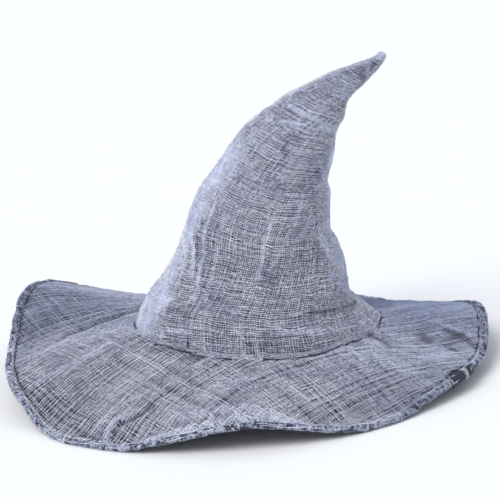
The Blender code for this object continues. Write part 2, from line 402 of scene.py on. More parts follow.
@dataclass(frozen=True)
class HemCloth:
    """Gauze rolled over the dark edge: pale where it lies thick, dark where it has worn open, with
    painted shade at the back and on the right.
    """

    name: str = "hem_roll"
    pale: tuple[float, float, float] = (0.40, 0.44, 0.58)
    dark: tuple[float, float, float] = (0.030, 0.034, 0.056)
    # Painted shade: the colour that a tone below 1 blends into the pale.
    painted_shade: tuple[float, float, float] = (0.12, 0.14, 0.22)
    clump: float = 560.0
    patch: float = 168.0
    edges: tuple[float, float] = (0.59, 0.74)
    rough: tuple[float, float] = (0.92, 0.80)
    depth: float = 0.0012

    def material(self) -> bpy.types.Material:
        """Make the material."""
        dye = DyePot(self.name)
        here = dye.place()
        clumps = dye.noise(here, self.clump, 3.0, 0.65)
        patches = dye.noise(here, self.patch, 2.0)
        share = (clumps * 0.8 + patches * 0.5).rise(*self.edges)
        # Painted shade from the stored tone, on the pale only.
        pale = dye.blend(dye.value("tone"), self.painted_shade, self.pale)
        dye.surface(
            base_color=dye.blend(share, self.dark, pale),
            roughness=share.between(*self.rough),
            normal=dye.relief(clumps, self.depth, 0.9),
        )
        return dye.material


@dataclass(frozen=True)
class StudioFloor:
    """A pale, even studio sweep with the least grain."""

    name: str = "pale_floor"
    pale: tuple[float, float, float] = (0.93, 0.93, 0.93)
    paler: tuple[float, float, float] = (0.95, 0.95, 0.95)
    grain: float = 9.0

    def material(self) -> bpy.types.Material:
        """Make the material."""
        dye = DyePot(self.name)
        grain = dye.noise(dye.place(), self.grain, 2.0)
        dye.surface(base_color=dye.blend(grain, self.pale, self.paler), roughness=0.9)
        return dye.material


# Meshes and fields


def make_mesh(
    name: str,
    points: Array,
    faces: Sequence[Array],
    material: bpy.types.Material,
    bake: Sequence[Array] | None = None,
) -> bpy.types.Object:
    """Make an object from arrays.

    Args:
        name: The piece's name.
        points: The vertices, one row each.
        faces: Groups of faces with the same number of corners, as vertex numbers.
        material: Its material.
        bake: For each group, the bake map's place of each face corner.

    Returns:
        The new object, linked to the scene.
    """
    mesh = bpy.data.meshes.new(name)
    mesh.vertices.add(len(points))
    mesh.vertices.foreach_set("co", points.astype(np.float32).ravel())
    corners = np.concatenate([group.ravel() for group in faces]).astype(np.int32)
    totals = np.concatenate([np.full(len(group), group.shape[1], np.int32) for group in faces])
    mesh.loops.add(len(corners))
    mesh.loops.foreach_set("vertex_index", corners)
    mesh.polygons.add(len(totals))
    starts = np.concatenate([[0], np.cumsum(totals)[:-1]]).astype(np.int32)
    mesh.polygons.foreach_set("loop_start", starts)
    mesh.polygons.foreach_set("loop_total", totals)
    mesh.polygons.foreach_set("use_smooth", np.ones(len(totals), bool))
    if bake is not None:
        layer = mesh.uv_layers.new(name="OFBake")
        places = np.concatenate([group.reshape(-1, 2) for group in bake])
        layer.data.foreach_set("uv", places.astype(np.float32).ravel())
    mesh.update(calc_edges=True)
    mesh.materials.append(material)
    made = bpy.data.objects.new(name, mesh)
    bpy.context.scene.collection.objects.link(made)
    return made


def store(made: bpy.types.Object, name: str, values: Array) -> None:
    """Store a value or a vector for each vertex under a name that a finish reads."""
    vector = values.ndim == 2
    layer = made.data.attributes.new(name, "FLOAT_VECTOR" if vector else "FLOAT", "POINT")
    layer.data.foreach_set("vector" if vector else "value", values.astype(np.float32).ravel())


def finish_piece(made: bpy.types.Object, slot: Slot, *nodes: str) -> bpy.types.Object:
    """Tie a piece to the part and log it.

    Args:
        made: The piece.
        slot: The record's slot; not used.
        nodes: The part's nodes that it stands for.

    Returns:
        The piece.
    """
    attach(made, BODY)
    if nodes:
        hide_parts(*nodes)
    triangles = sum(len(face.vertices) - 2 for face in made.data.polygons)
    LOG.info("%s: %d triangles", made.name, triangles)
    return made


def ramp(values: Array, low: float, high: float) -> Array:
    """Give a straight rise from 0 at low to 1 at high."""
    return np.clip((values - low) / (high - low), 0, 1)


def turn_at(x: Array, y: Array) -> Array:
    """Give how far round the middle plan places lie, from 0 to 1."""
    return (np.arctan2(y, x) / TURN) % 1.0


def unit(vectors: Array) -> Array:
    """Scale vectors to length 1."""
    return vectors / (np.linalg.norm(vectors, axis=-1, keepdims=True) + 1e-12)


def smooth_round(values: Array, spread: float) -> Array:
    """Smooth along the first axis, which closes on itself, by a spread in steps."""
    steps = np.fft.fftfreq(values.shape[0])
    gain = np.exp(-2 * (math.pi * steps * spread) ** 2)
    gain = gain.reshape((-1,) + (1,) * (values.ndim - 1))
    return np.fft.ifft(np.fft.fft(values, axis=0) * gain, axis=0).real


def smooth_along(values: Array, spread: float) -> Array:
    """Smooth along the second axis, which runs on straight past its ends."""
    half = int(3 * spread) + 1
    low = 2 * values[:, :1] - values[:, half:0:-1]
    high = 2 * values[:, -1:] - values[:, -2 : -half - 2 : -1]
    padded = np.concatenate([low, values, high], axis=1)
    taps = np.exp(-0.5 * (np.arange(-half, half + 1) / spread) ** 2)
    taps /= taps.sum()
    count = values.shape[1]
    return sum(tap * padded[:, k : k + count] for k, tap in enumerate(taps))


def distance_to_path(x: Array, y: Array, path: Sequence[tuple[float, float]]) -> Array:
    """Give how far points lie from a path of straight runs."""
    best = np.full(np.shape(x), 1e9)
    for (ax, ay), (bx, by) in zip(path, path[1:]):
        dx, dy = bx - ax, by - ay
        share = np.clip(((x - ax) * dx + (y - ay) * dy) / (dx * dx + dy * dy), 0, 1)
        best = np.minimum(best, np.hypot(x - ax - dx * share, y - ay - dy * share))
    return best


class Drift:
    """A smooth random field, from a seeded lattice of values from -1 to 1."""

    def __init__(self, seed: int, size: int = 61) -> None:
        """Draw the lattice."""
        self.values = np.random.default_rng(seed).uniform(-1, 1, (size, size))

    def at(self, x: Array, y: Array) -> Array:
        """Read the field, whose cells are 1 wide."""
        size = len(self.values)
        left, low = np.floor(x).astype(int), np.floor(y).astype(int)
        fx, fy = x - left, y - low
        fx, fy = fx * fx * (3 - 2 * fx), fy * fy * (3 - 2 * fy)
        here = [self.values[(left + i) % size, (low + j) % size] for i in (0, 1) for j in (0, 1)]
        return (here[0] * (1 - fy) + here[1] * fy) * (1 - fx) + (
            here[2] * (1 - fy) + here[3] * fy
        ) * fx


@dataclass(frozen=True)
class Waver:
    """A smooth random change: its seed, its size, and how long and wide it is."""

    seed: int
    size: float
    along: float
    across: float

    def at(self, x: Array, y: Array, seed: int = 0) -> Array:
        """Read it, with a seed that is added to its own."""
        return self.size * Drift(self.seed + seed).at(x / self.along, y / self.across)


@dataclass(frozen=True)
class Crease:
    """A fold line in the cloth.

    Its path is in millimetres of plan on the brim, and in degrees round and shares of the rise on
    the crown. Cover says how much paler (above 0) or more open (below 0) the gauze is there: partly
    thicker or stretched cloth, and partly a painted highlight along raised folds and painted shade
    along sunk ones.
    """

    path: tuple[tuple[float, float], ...]
    width: float
    lift: float
    cover: float


@dataclass(frozen=True)
class Pull:
    """A place where the threads are dragged apart (push above 0) or together, in flat metres."""

    x: float
    y: float
    angle: float
    length: float
    width: float
    push: float

    def shift(self, x: Array, y: Array) -> tuple[Array, Array]:
        """Give how far it drags points of the flat cloth."""
        turn = math.radians(self.angle)
        along = (x - self.x) * math.cos(turn) + (y - self.y) * math.sin(turn)
        across = (y - self.y) * math.cos(turn) - (x - self.x) * math.sin(turn)
        strength = np.exp(-((along / self.length) ** 2) - (across / self.width) ** 2)
        move = self.push * across * strength
        return -move * math.sin(turn), move * math.cos(turn)


class ClothGrid:
    """A curved cloth surface sampled on a grid that closes round its first axis."""

    def __init__(self, points: Array) -> None:
        """Keep the points and work out their normals.

        Args:
            points: Places by step round and step along.
        """
        self.points = points
        round_step = np.roll(points, -1, axis=0) - np.roll(points, 1, axis=0)
        along_step = np.gradient(points, axis=1)
        self.normals = unit(np.cross(round_step, along_step))

    def film(self, cover: Array) -> Array:
        """Give the film's points: under the threads, but over them where it lies thick."""
        sunk = FILM_DEPTH - FILM_RISE * ramp(cover, *THICK_FILM)
        return self.points + self.normals * sunk[..., None]

    def read(self, values: Array, turn: Array, share: Array) -> Array:
        """Read grid values between its points.

        Args:
            values: A value or vector for each grid point.
            turn: How far round, where 1 is once round.
            share: How far along, from 0 to 1.

        Returns:
            The values there.
        """
        rows, columns = values.shape[:2]
        x = (turn % 1.0) * rows
        y = np.clip(share, 0, 1) * (columns - 1)
        i, j = np.floor(x).astype(int) % rows, np.minimum(np.floor(y).astype(int), columns - 2)
        fx, fy = x - np.floor(x), y - j
        if values.ndim == 3:
            fx, fy = fx[..., None], fy[..., None]
        k = (i + 1) % rows
        low = values[i, j] * (1 - fx) + values[k, j] * fx
        high = values[i, j + 1] * (1 - fx) + values[k, j + 1] * fx
        return low * (1 - fy) + high * fy


def tree_of(node: str) -> BVHTree:
    """Give a search tree of a node of the part."""
    return BVHTree.FromObject(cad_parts[node], bpy.context.evaluated_depsgraph_get())


def grid_faces(rows: int, columns: int) -> tuple[Array, Array]:
    """Give the faces of a grid that closes round, and the bake places of their corners."""
    i, j = np.meshgrid(np.arange(rows), np.arange(columns - 1), indexing="ij")
    i, j = i.ravel(), j.ravel()
    k = (i + 1) % rows
    here, beside = i * columns + j, k * columns + j
    faces = np.stack([here, here + 1, beside + 1, beside], 1)
    u = np.stack([i, i, i + 1, i + 1], 1) / rows
    v = np.stack([j, j + 1, j + 1, j], 1) / (columns - 1)
    return faces, np.stack([u, v], 2)


# Surfaces


@dataclass
class Landing:
    """Where places on the flat gauze come to lie on the hat, and how the gauze is there.

    Cover is how much thicker it lies, tone how much painted shade it gets (1 for none, less for
    darker), and room is the share of its threads that has room.
    """

    points: Array
    normals: Array
    inside: Array
    cover: Array
    tone: Array
    room: Array
    bake: Array


@dataclass
class BrimSurface:
    """The wavy brim as a function of its place in plan."""

    head_offset: float = 0.0105
    head_half_width: float = 0.091
    head_half_depth: float = 0.095
    hem_width: float = 0.007
    groove: float = 0.0093
    turns: int = 360
    steps: int = 56
    facet_round: float = 3.4
    facet_along: float = 1.8
    flat_size: float = 0.43
    reshaped: tuple[tuple[float, float], ...] = (
        (140, 0.0), (153, 3.5), (160, 2.2), (170, -1.2), (180, -3.2), (190, -1.6), (200, 2.0),
        (207, 1.6), (214, 0.3), (224, 2.2), (234, 0.0),
    )
    facet_count: int = 104
    rim_spread: float = 2.0
    rim_height_spread: float = 2.2
    wrinkles: tuple[Waver, ...] = (
        Waver(11, 0.0004, 0.016, 0.016),
        Waver(12, 0.0002, 0.008, 0.008),
    )
    groove_width: float = 0.0010
    groove_depth: float = 0.0012
    groove_opening_and_shade: float = -0.8
    hem_overlap: float = 0.45
    tear_turn: float = 326.0 / 360
    tear_half: float = 0.0135
    tear_depth: float = 0.0090
    tear_reach: float = 0.213
    tear_cover: float = -2.0
    creases: tuple[Crease, ...] = (
        Crease(((-88, 42), (-114, 32), (-132, 26), (-149, 15), (-163, 5)), 4.0, -1.6, -0.8),
        Crease(((-185, -70), (-150, -60), (-116, -39)), 2.6, 1.0, 0.9),
        Crease(((-159, -29), (-139, -22), (-110, -9)), 3.0, 0.6, 0.6),
        Crease(((-194, 56), (-178, 63), (-164, 69)), 4.0, 0.6, 0.6),
        Crease(((-120, -132), (-111, -126), (-102, -121)), 2.5, -0.4, -0.4),
        Crease(((-84, -148), (-74, -142), (-64, -138)), 2.2, -0.5, -1.1),
        Crease(((-157, -127), (-148, -116), (-138, -105)), 2.0, -0.3, -0.6),
        Crease(((-80, -66), (-66, -74)), 3.5, -0.4, -0.9),
        Crease(((-54, -92), (-44, -93), (-36, -97)), 3.5, -0.4, -0.9),
        Crease(((-81, -134), (-98, -134), (-119, -148), (-128, -158)), 2.5, 0.8, 0.4),
        Crease(((-116, -172), (-116, -162), (-112, -155), (-102, -154)), 2.4, 2.6, 1.2),
        Crease(((-107, -159), (-98, -159), (-88, -156), (-79, -151)), 2.2, -2.4, -1.6),
        Crease(((-113, -171), (-108, -163)), 1.8, -1.0, -1.2),
        Crease(((-82, -194), (-54, -200), (-22, -203), (10, -203), (37, -207)), 4.5, 1.8, 0.9),
        Crease(((-62, -180), (-30, -187), (0, -192), (24, -198)), 5.0, 0.8, 0.7),
        Crease(((87, -84), (89, -92), (94, -106), (99, -121)), 1.8, 0.7, 0.9),
        Crease(((101, -78), (107, -93), (113, -116)), 1.8, 0.7, 0.7),
        Crease(((90, -100), (94, -110)), 1.6, -0.4, -1.0),
        Crease(((30, -117), (43, -121), (54, -115)), 1.4, -0.5, -0.9),
        Crease(((120, -108), (125, -124), (159, -115)), 2.0, 1.0, 0.5),
        Crease(((106, -48), (114, -54), (121, -66)), 4.5, -0.5, -1.3),
        Crease(((152, -39), (157, -48)), 5.0, -0.4, -1.4),
        Crease(((175, -33), (184, -40), (191, -49)), 3.4, -0.4, -1.4),
        Crease(((172, -47), (181, -43), (188, -39)), 2.4, -0.3, -1.4),
        Crease(((171, -55), (181, -50), (192, -46)), 2.2, -0.3, -1.3),
        Crease(((174, -61), (179, -65)), 3.2, -0.3, -1.2),
        Crease(((195, -55), (198, -61)), 3.5, -0.4, -1.2),
        Crease(((164, -20), (179, -29), (194, -41)), 1.6, 0.7, 0.8),
    )

    def __post_init__(self) -> None:
        """Read the part's brim and hem."""
        self._read_edge()
        turn = np.arange(self.turns) / self.turns
        share = np.linspace(0, 1, self.steps)
        turn, share = np.meshgrid(turn, share, indexing="ij")
        x, y = self.plan(turn, share)
        self.top = self._heights("brim_gauze", x, y)
        self.under = self._heights("brim_lining", x, y)
        lift, self.cover = self.folds(x, y)
        self.cover = np.where(self.torn(x, y), self.tear_cover, self.cover)
        self.flat = np.stack([x, y], 2)
        lift = lift + sum(wrinkle.at(x, y) for wrinkle in self.wrinkles)
        self.gauze = ClothGrid(np.stack([x, y, self.top + lift], 2))
        self.lining = ClothGrid(np.stack([x, y, self.under + np.minimum(lift, 0)], 2))

    def _read_edge(self) -> None:
        """Read the hem's middle line from the part's hem, and reshape the left lobe's edge."""
        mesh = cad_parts["brim_hem"].data
        points = np.empty(len(mesh.vertices) * 3)
        mesh.vertices.foreach_get("co", points)
        points = points.reshape(-1, 3)
        turn = turn_at(points[:, 0], points[:, 1])
        reach = np.hypot(points[:, 0], points[:, 1])
        columns = np.round(turn * self.facet_count).astype(int) % self.facet_count
        middle, outer, height = [], [], []
        for column in np.unique(columns):
            here = columns == column
            middle.append(turn[here].mean() if column else 0.0)
            outer.append(reach[here].max())
            height.append((points[here, 2].max() + points[here, 2].min()) / 2)
        at = np.arange(self.turns) / self.turns
        angles, moves = np.array(self.reshaped).T
        rim = np.interp(at, middle, outer, period=1.0) + np.interp(at * 360, angles, moves) * 1e-3
        self.rim = smooth_round(rim, self.rim_spread)
        height = np.interp(at, middle, height, period=1.0)
        self.rim_height = smooth_round(height, self.rim_height_spread)

    def round_rim(self, values: Array, turn: Array) -> Array:
        """Read values that are known round the rim."""
        return np.interp(turn % 1.0, np.arange(self.turns) / self.turns, values, period=1.0)

    def edge(self, turn: Array, inset: float = 0.0) -> Array:
        """Give the hem's middle height at an inset from the edge, as points."""
        reach = self.round_rim(self.rim, turn) - inset
        height = self.round_rim(self.rim_height, turn)
        return np.stack([reach * np.cos(turn * TURN), reach * np.sin(turn * TURN), height], -1)

    def inner(self, turn: Array) -> Array:
        """Give how far the head opening's edge is from the middle."""
        angle = turn * TURN
        c, s, a, b = np.cos(angle), np.sin(angle), self.head_half_width, self.head_half_depth
        first = (c / a) ** 2 + (s / b) ** 2
        second = -2 * c * self.head_offset / a**2
        third = (self.head_offset / a) ** 2 - 1
        return (-second + np.sqrt(second**2 - 4 * first * third)) / (2 * first)

    def outer(self, turn: Array) -> Array:
        """Give how far the cloth inside the hem reaches from the middle."""
        return self.round_rim(self.rim, turn) - self.hem_width * self.hem_overlap

    def plan(self, turn: Array, share: Array) -> tuple[Array, Array]:
        """Give the plan place at a turn and a share of the way out."""
        reach = self.inner(turn) + (self.outer(turn) - self.inner(turn)) * share
        return reach * np.cos(turn * TURN), reach * np.sin(turn * TURN)

    def _heights(self, node: str, x: Array, y: Array) -> Array:
        """Read a node's top side from above and take its facets out."""
        tree = tree_of(node)
        heights = np.full(x.shape, np.nan)
        down = Vector((0, 0, -1))
        for index in np.ndindex(x.shape):
            hit = tree.ray_cast(Vector((x[index], y[index], 0.3)), down)[0]
            if hit is not None:
                heights[index] = hit.z
        for row in heights:
            known = ~np.isnan(row)
            where = np.arange(len(row))
            row[~known] = np.interp(where[~known], where[known], row[known])
        return smooth_along(smooth_round(heights, self.facet_round), self.facet_along)

    def folds(self, x: Array, y: Array) -> tuple[Array, Array]:
        """Give the fold lines' lift and cover at plan places."""
        lift, cover = np.zeros(x.shape), np.zeros(x.shape)
        for crease in self.creases:
            near = np.exp(-((distance_to_path(x * 1e3, y * 1e3, crease.path) / crease.width) ** 2))
            lift += near * crease.lift * 1e-3
            # Cover: partly thicker or opener cloth, partly a painted highlight along raised folds
            # and painted shade along sunk ones.
            cover += near * crease.cover
        turn = turn_at(x, y)
        # The groove beside the hem: sunk, and opened so the dark cloth shows, a darker line that is
        # partly painted shade in the groove.
        deep = self.round_rim(self.rim, turn) - np.hypot(x, y) - self.groove
        near = np.exp(-((deep / self.groove_width) ** 2)) * self.grooved(turn)
        return lift - near * self.groove_depth, cover + near * self.groove_opening_and_shade

    def grooved(self, turn: Array) -> Array:
        """Give how deep the groove beside the hem is: flattened out in front and behind."""
        return ramp(1.6 * np.abs(np.cos(turn * TURN)), 0.75, 1.75)

    def tone(self, x: Array, y: Array) -> Array:
        """Give the painted shade at plan places as a tone: less at the back and on the right, away
        from the lamp.
        """
        shade = 0.58 * ramp(y, -0.06, 0.06) + 0.45 * ramp(x, 0.04, 0.15)
        return np.clip(1 - shade, 0.1, 1)

    def torn(self, x: Array, y: Array) -> Array:
        """Tell which plan places lie where the gauze is torn from the edge."""
        turn = turn_at(x, y)
        deep = (self.outer(turn) - np.hypot(x, y)) / self.tear_depth
        along = (turn - self.tear_turn) * TURN * self.tear_reach / self.tear_half
        return along**2 + deep**2 < 1

    def bake(self, plan: Array) -> Array:
        """Give the places of plan points on the bake map."""
        return plan / self.flat_size + 0.5

    def land(self, x: Array, y: Array) -> Landing:
        """Find where places on the flat gauze come to lie."""
        turn, share = self.locate(x, y)
        grid = self.gauze
        return Landing(
            points=grid.read(grid.points, turn, share),
            normals=-grid.read(grid.normals, turn, share),
            inside=(share > 0.02) & (share < 1.0) & ~self.torn(x, y),
            cover=self.folds(x, y)[1],
            tone=self.tone(x, y),
            room=0.97 - 0.07 * ramp(x, -0.13, -0.01) * ramp(-y, 0, 0.05),
            bake=self.bake(np.stack([x, y], 2)),
        )

    def height(self, x: Array, y: Array) -> Array:
        """Give the gauze's height at a plan place."""
        return self.gauze.read(self.gauze.points[..., 2], *self.locate(x, y))

    def locate(self, x: Array, y: Array) -> tuple[Array, Array]:
        """Give the turn and the share of the way out of a plan place."""
        turn = turn_at(x, y)
        inner = self.inner(turn)
        return turn, (np.hypot(x, y) - inner) / (self.outer(turn) - inner)


@dataclass
class CrownSurface:
    """The leaning crown, by the turn round it and the share of the way from its tip to its foot."""

    brim: BrimSurface
    foot_middle: tuple[float, float] = (0.0105, 0.0440)
    lean: float = 0.1313
    rise: float = 0.2245
    arc: float = 0.4
    flare: float = 0.0080
    bulge: float = 0.10
    flare_at: float = 283.0
    flare_spread: float = 40.0
    flare_share: float = 0.85
    foot_gap: float = 0.0014
    foot_rises: tuple[tuple[float, float], ...] = ((0.98, 0.0005), (1.0, 0.0022))
    foot_rows: int = 12
    foot_floor: float = 0.0009
    lining_slack: float = 0.0010
    tip_rise: float = 0.0015
    tip_film: tuple[int, float] = (8, 0.5)
    high_film: float = 0.3
    most_cover: float = 1.15
    ray: float = 0.15
    facet_round: float = 2.2
    facet_along: float = 1.4
    wrinkles: tuple[Waver, ...] = (
        Waver(21, 0.0005, 0.012, 0.035),
        Waver(22, 0.0003, 0.007, 0.016),
    )
    uneven: Waver = Waver(23, 0.5, 0.005, 0.005)
    turns: int = 300
    rows: int = 130
    steps: int = 221
    spine: tuple[tuple[float, float, float], ...] = (
        (0.0, 0.020, 4.7), (0.062, 0.002, 5.3), (0.116, -0.015, 5.6), (0.175, 0.028, 5.1),
        (0.256, 0.067, 5.0), (0.327, 0.087, 7.1), (0.377, 0.078, 7.3), (0.467, 0.118, 6.8),
        (0.526, 0.146, 5.6), (0.565, 0.176, 8.6), (0.630, 0.241, 9.1), (0.701, 0.306, 9.8),
        (0.747, 0.348, 9.3), (0.790, 0.432, 6.7), (0.838, 0.500, 8.9), (0.880, 0.613, 18.8),
        (0.917, 0.737, 30.0), (0.947, 0.855, 34.7), (0.981, 0.963, 34.0),
    )
    creases: tuple[Crease, ...] = (
        Crease(((192, 0.04), (195, 0.25), (197, 0.45), (200, 0.64)), 21.0, 0.0, 1.0),
        Crease(((200, 0.0), (204, 0.12)), 12.0, 0.0, 0.6),
        # Wide pale film down the right side: thicker gauze at the edge, and partly painted light on
        # the side away from the lamp.
        Crease(((352, 0.16), (344, 0.27), (352, 0.36)), 13.0, 0.0, 1.7),
        Crease(((346, 0.44), (353, 0.55), (343, 0.68)), 10.0, 0.0, 1.6),
        Crease(((208, 0.843), (286, 0.802), (318, 0.773), (345, 0.76)), 1.2, 1.4, 1.4),
        Crease(((204, 0.786), (251, 0.79), (299, 0.77), (335, 0.755)), 1.1, 1.0, 1.2),
        Crease(((270, 0.916), (303, 0.889), (329, 0.87)), 1.2, 0.9, 1.2),
        Crease(((237, 0.95), (262, 0.945), (292, 0.935)), 1.5, -1.0, -1.9),
        Crease(((297, 0.941), (325, 0.93), (349, 0.913)), 1.4, -0.9, -1.8),
        Crease(((262, 0.975), (302, 0.953)), 1.3, -0.8, -1.7),
        Crease(((261, 0.746), (266, 0.71), (270, 0.672)), 1.8, -1.2, -0.8),
        Crease(((279, 0.476), (276.5, 0.44), (276, 0.4), (271, 0.35), (269.5, 0.3), (266, 0.245)),
               0.9, 1.0, 1.5),
        Crease(((305, 0.54), (301, 0.47), (289, 0.367), (275, 0.279)), 1.1, 0.6, 1.1),
        Crease(((313, 0.665), (333, 0.602), (321, 0.553)), 1.3, 0.8, 1.2),
        Crease(((247, 0.525), (262, 0.566), (280, 0.597)), 1.2, 0.5, 0.5),
        Crease(((325, 0.384), (329, 0.271), (324, 0.175)), 1.4, 1.0, 1.2),
        Crease(((320, 0.461), (303, 0.379), (291, 0.302)), 1.2, 0.7, 1.1),
        Crease(((313, 0.256), (302, 0.213), (296, 0.167)), 1.3, 0.7, 0.6),
        Crease(((209, 0.501), (202, 0.397), (212, 0.314), (218, 0.236)), 1.4, 1.5, 1.0),
        Crease(((215, 0.43), (214, 0.36), (217, 0.30)), 1.8, -1.0, -1.0),
        Crease(((221, 0.491), (220, 0.376), (222, 0.274), (228, 0.158)), 1.2, 1.2, 1.0),
        Crease(((235, 0.463), (232, 0.33), (234, 0.231), (236, 0.163)), 1.8, 1.0, 0.6),
        Crease(((204, 0.267), (193, 0.187), (186, 0.13)), 2.0, 1.4, 1.2),
        Crease(((216, 0.18), (210, 0.126), (190, 0.05)), 2.0, 1.4, 0.8),
        Crease(((213, 0.012), (218, 0.039), (226, 0.053), (235, 0.061)), 1.6, 1.0, 0.9),
        Crease(((279, 0.103), (288, 0.083), (296, 0.075), (322, 0.059), (336, 0.047), (357, 0.03)),
               3.4, 2.8, 0.7),
        Crease(((304, 0.125), (318, 0.115), (336, 0.10), (352, 0.09)), 2.2, -2.0, -1.3),
        Crease(((277, 0.081), (274, 0.048), (271, 0.032)), 2.5, -0.4, -0.6),
        Crease(((286, 0.222), (296, 0.176), (315, 0.209), (333, 0.228)), 1.3, 0.6, 0.6),
        Crease(((325, 0.458), (330, 0.361), (324, 0.264), (341, 0.152)), 1.8, 1.2, 0.7),
        Crease(((265.5, 0.045), (266, -0.01)), 1.2, -1.0, -1.2),
        Crease(((268, 0.05), (268.5, -0.01)), 1.1, 0.8, 0.9),
        Crease(((233, 0.04), (234, 0.0)), 1.2, -0.8, -1.0),
    )

    def __post_init__(self) -> None:
        """Read the part's crown."""
        table = np.array(self.spine)
        ups = np.linspace(0, table[-1, 0], self.rows)
        self.middles = np.stack(
            [
                self.foot_middle[0] + self.lean * np.interp(ups, table[:, 0], table[:, 1]),
                np.zeros(self.rows),
                self.foot_middle[1] + self.rise * ups,
            ],
            1,
        )
        self.tilts = np.radians(np.interp(ups, table[:, 0], table[:, 2]))
        outside = self._rings("crown_gauze")
        inside = self._rings("crown_lining", outside)
        radius = np.linalg.norm(outside - self.middles, axis=2).mean(0)
        run = np.linalg.norm(np.diff(outside, axis=1), axis=2).mean(0)
        run = np.concatenate([[0], np.cumsum(run)])
        lift, cover = self._creases(ups, radius, run)
        angle = np.arange(self.turns) / self.turns
        x = np.outer(angle * TURN, radius)
        y = np.broadcast_to(run, x.shape)
        lift = lift + sum(wrinkle.at(x, y) for wrinkle in self.wrinkles)
        outside = outside - ClothGrid(outside).normals * lift[..., None]
        tip = self._tip() + np.array([0.0, 0.0, self.tip_rise])
        outside, inside = self._stand(outside), self._stand(inside, self.lining_slack)
        ups = np.concatenate([[-0.02, -0.01], ups])
        cover = np.concatenate([np.repeat(cover[:, :1], 2, axis=1), cover], axis=1)
        self.gauze, self.length, self.cover, self.up = self._resample(outside, tip, cover, ups)
        end = tip + (outside[:, -1].mean(0) - tip) * 0.15
        self.lining = self._resample(inside, end, cover, ups)[0]
        count, least = self.tip_film
        self.cover[:, :count] = np.maximum(self.cover[:, :count], least)
        self.cover += self.high_film * ramp(self.up, 0.35, 0.65)
        self.opening = float(np.mean(radius[0] / self.length.mean()))
        share = np.linspace(0, 1, self.steps)
        turn, share = np.meshgrid(angle, share, indexing="ij")
        self.flat = np.stack(self.flatten(turn, share), 2)
        ring = self.gauze.points
        girth = np.linalg.norm(np.roll(ring, -1, axis=0) - ring, axis=2).sum(0)
        cut_girth = TURN * self.opening * self.length.mean() * np.linspace(0, 1, self.steps)
        self.room = np.clip(girth / (cut_girth + 1e-4), 0.05, 1.2) ** 0.8 * 1.1

    def _stand(self, rings: Array, slack: float = 0.0) -> Array:
        """Bring the rings' foot down to the brim, and swell it outward in front.

        Args:
            rings: Points from foot to tip.
            slack: How far the foot stays inside the gauze's foot.

        Returns:
            The rings, with two more at the foot.
        """
        away = rings[:, 0, :2] - np.array([self.foot_middle[0], 0])
        beside = 360 * turn_at(*away.T) - self.flare_at
        away = unit(away)
        flare = self.foot_gap - slack + self.flare * np.exp(-((beside / self.flare_spread) ** 2))
        skirt = []
        for share, rise in self.foot_rises:
            plan = rings[:, 0, :2] + away * (flare * share)[:, None]
            skirt.append(np.column_stack([plan, self.brim.height(*plan.T) + rise]))
        low = rings[:, : self.foot_rows]
        floor = self.brim.height(low[..., 0], low[..., 1]) + self.foot_floor
        rings = rings.copy()
        rings[:, : self.foot_rows, 2] = np.maximum(low[..., 2], floor)
        up = np.arange(self.rows) / (self.rows - 1) * self.spine[-1][0] / self.bulge
        swell = self.flare_share * np.clip(1 - up, 0, 1) ** 0.8
        rings[..., :2] += away[:, None] * (flare[:, None] * swell)[..., None]
        return np.concatenate([np.stack(skirt, 1), rings], axis=1)

    def _tip(self) -> Array:
        """Give the crown's highest point."""
        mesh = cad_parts["crown_gauze"].data
        return np.array(max((vertex.co for vertex in mesh.vertices), key=lambda p: p.z))

    def _rings(self, node: str, around: Array | None = None) -> Array:
        """Read a node's outer side in tilted rings, from foot to tip, and take its facets out.

        Args:
            node: The part's node.
            around: Rings that lie round it, which it follows inside where it has ended.

        Returns:
            Points by turn and ring.
        """
        tree = tree_of(node)
        rings = np.full((self.turns, self.rows, 3), np.nan)
        for row, (middle, tilt) in enumerate(zip(self.middles, self.tilts)):
            across = np.array([math.cos(tilt), 0, -math.sin(tilt)])
            for turn in range(self.turns):
                angle = TURN * turn / self.turns
                out = across * math.cos(angle) + np.array([0, 1, 0]) * math.sin(angle)
                hit = tree.ray_cast(Vector(middle + out * self.ray), Vector(-out), self.ray)[0]
                if hit is not None:
                    rings[turn, row] = hit
        for row in range(self.rows // 3, -1, -1):
            lost = np.isnan(rings[:, row, 0])
            step = self.middles[row] - self.middles[row + 1]
            rings[lost, row] = rings[lost, row + 1] + step
        lost = np.isnan(rings[..., 0])
        ended = np.broadcast_to(self.middles, rings.shape)
        if around is not None:
            ended = ended * 0.35 + around * 0.65
        rings[lost] = ended[lost]
        return smooth_along(smooth_round(rings, self.facet_round), self.facet_along)

    def _creases(self, ups: Array, radius: Array, run: Array) -> tuple[Array, Array]:
        """Give the fold lines' lift and cover over the rings."""
        lift = np.zeros((self.turns, self.rows))
        cover = np.zeros((self.turns, self.rows))
        angle = np.arange(self.turns) * 360 / self.turns
        for crease in self.creases:
            middle = crease.path[0][0]
            path = [
                (math.radians(a - middle) * np.interp(up, ups, radius), np.interp(up, ups, run))
                for a, up in crease.path
            ]
            across = np.outer(np.radians((angle - middle + 180) % 360 - 180), radius)
            far = distance_to_path(across, run[None, :], path)
            near = np.exp(-((far * 1e3 / crease.width) ** 2))
            lift += near * crease.lift * 1e-3
            # Cover: partly thicker or opener cloth, partly a painted highlight along raised folds
            # and painted shade along sunk ones.
            cover += near * crease.cover * (1 + self.uneven.at(run, across))
        return lift, np.minimum(cover, self.most_cover)

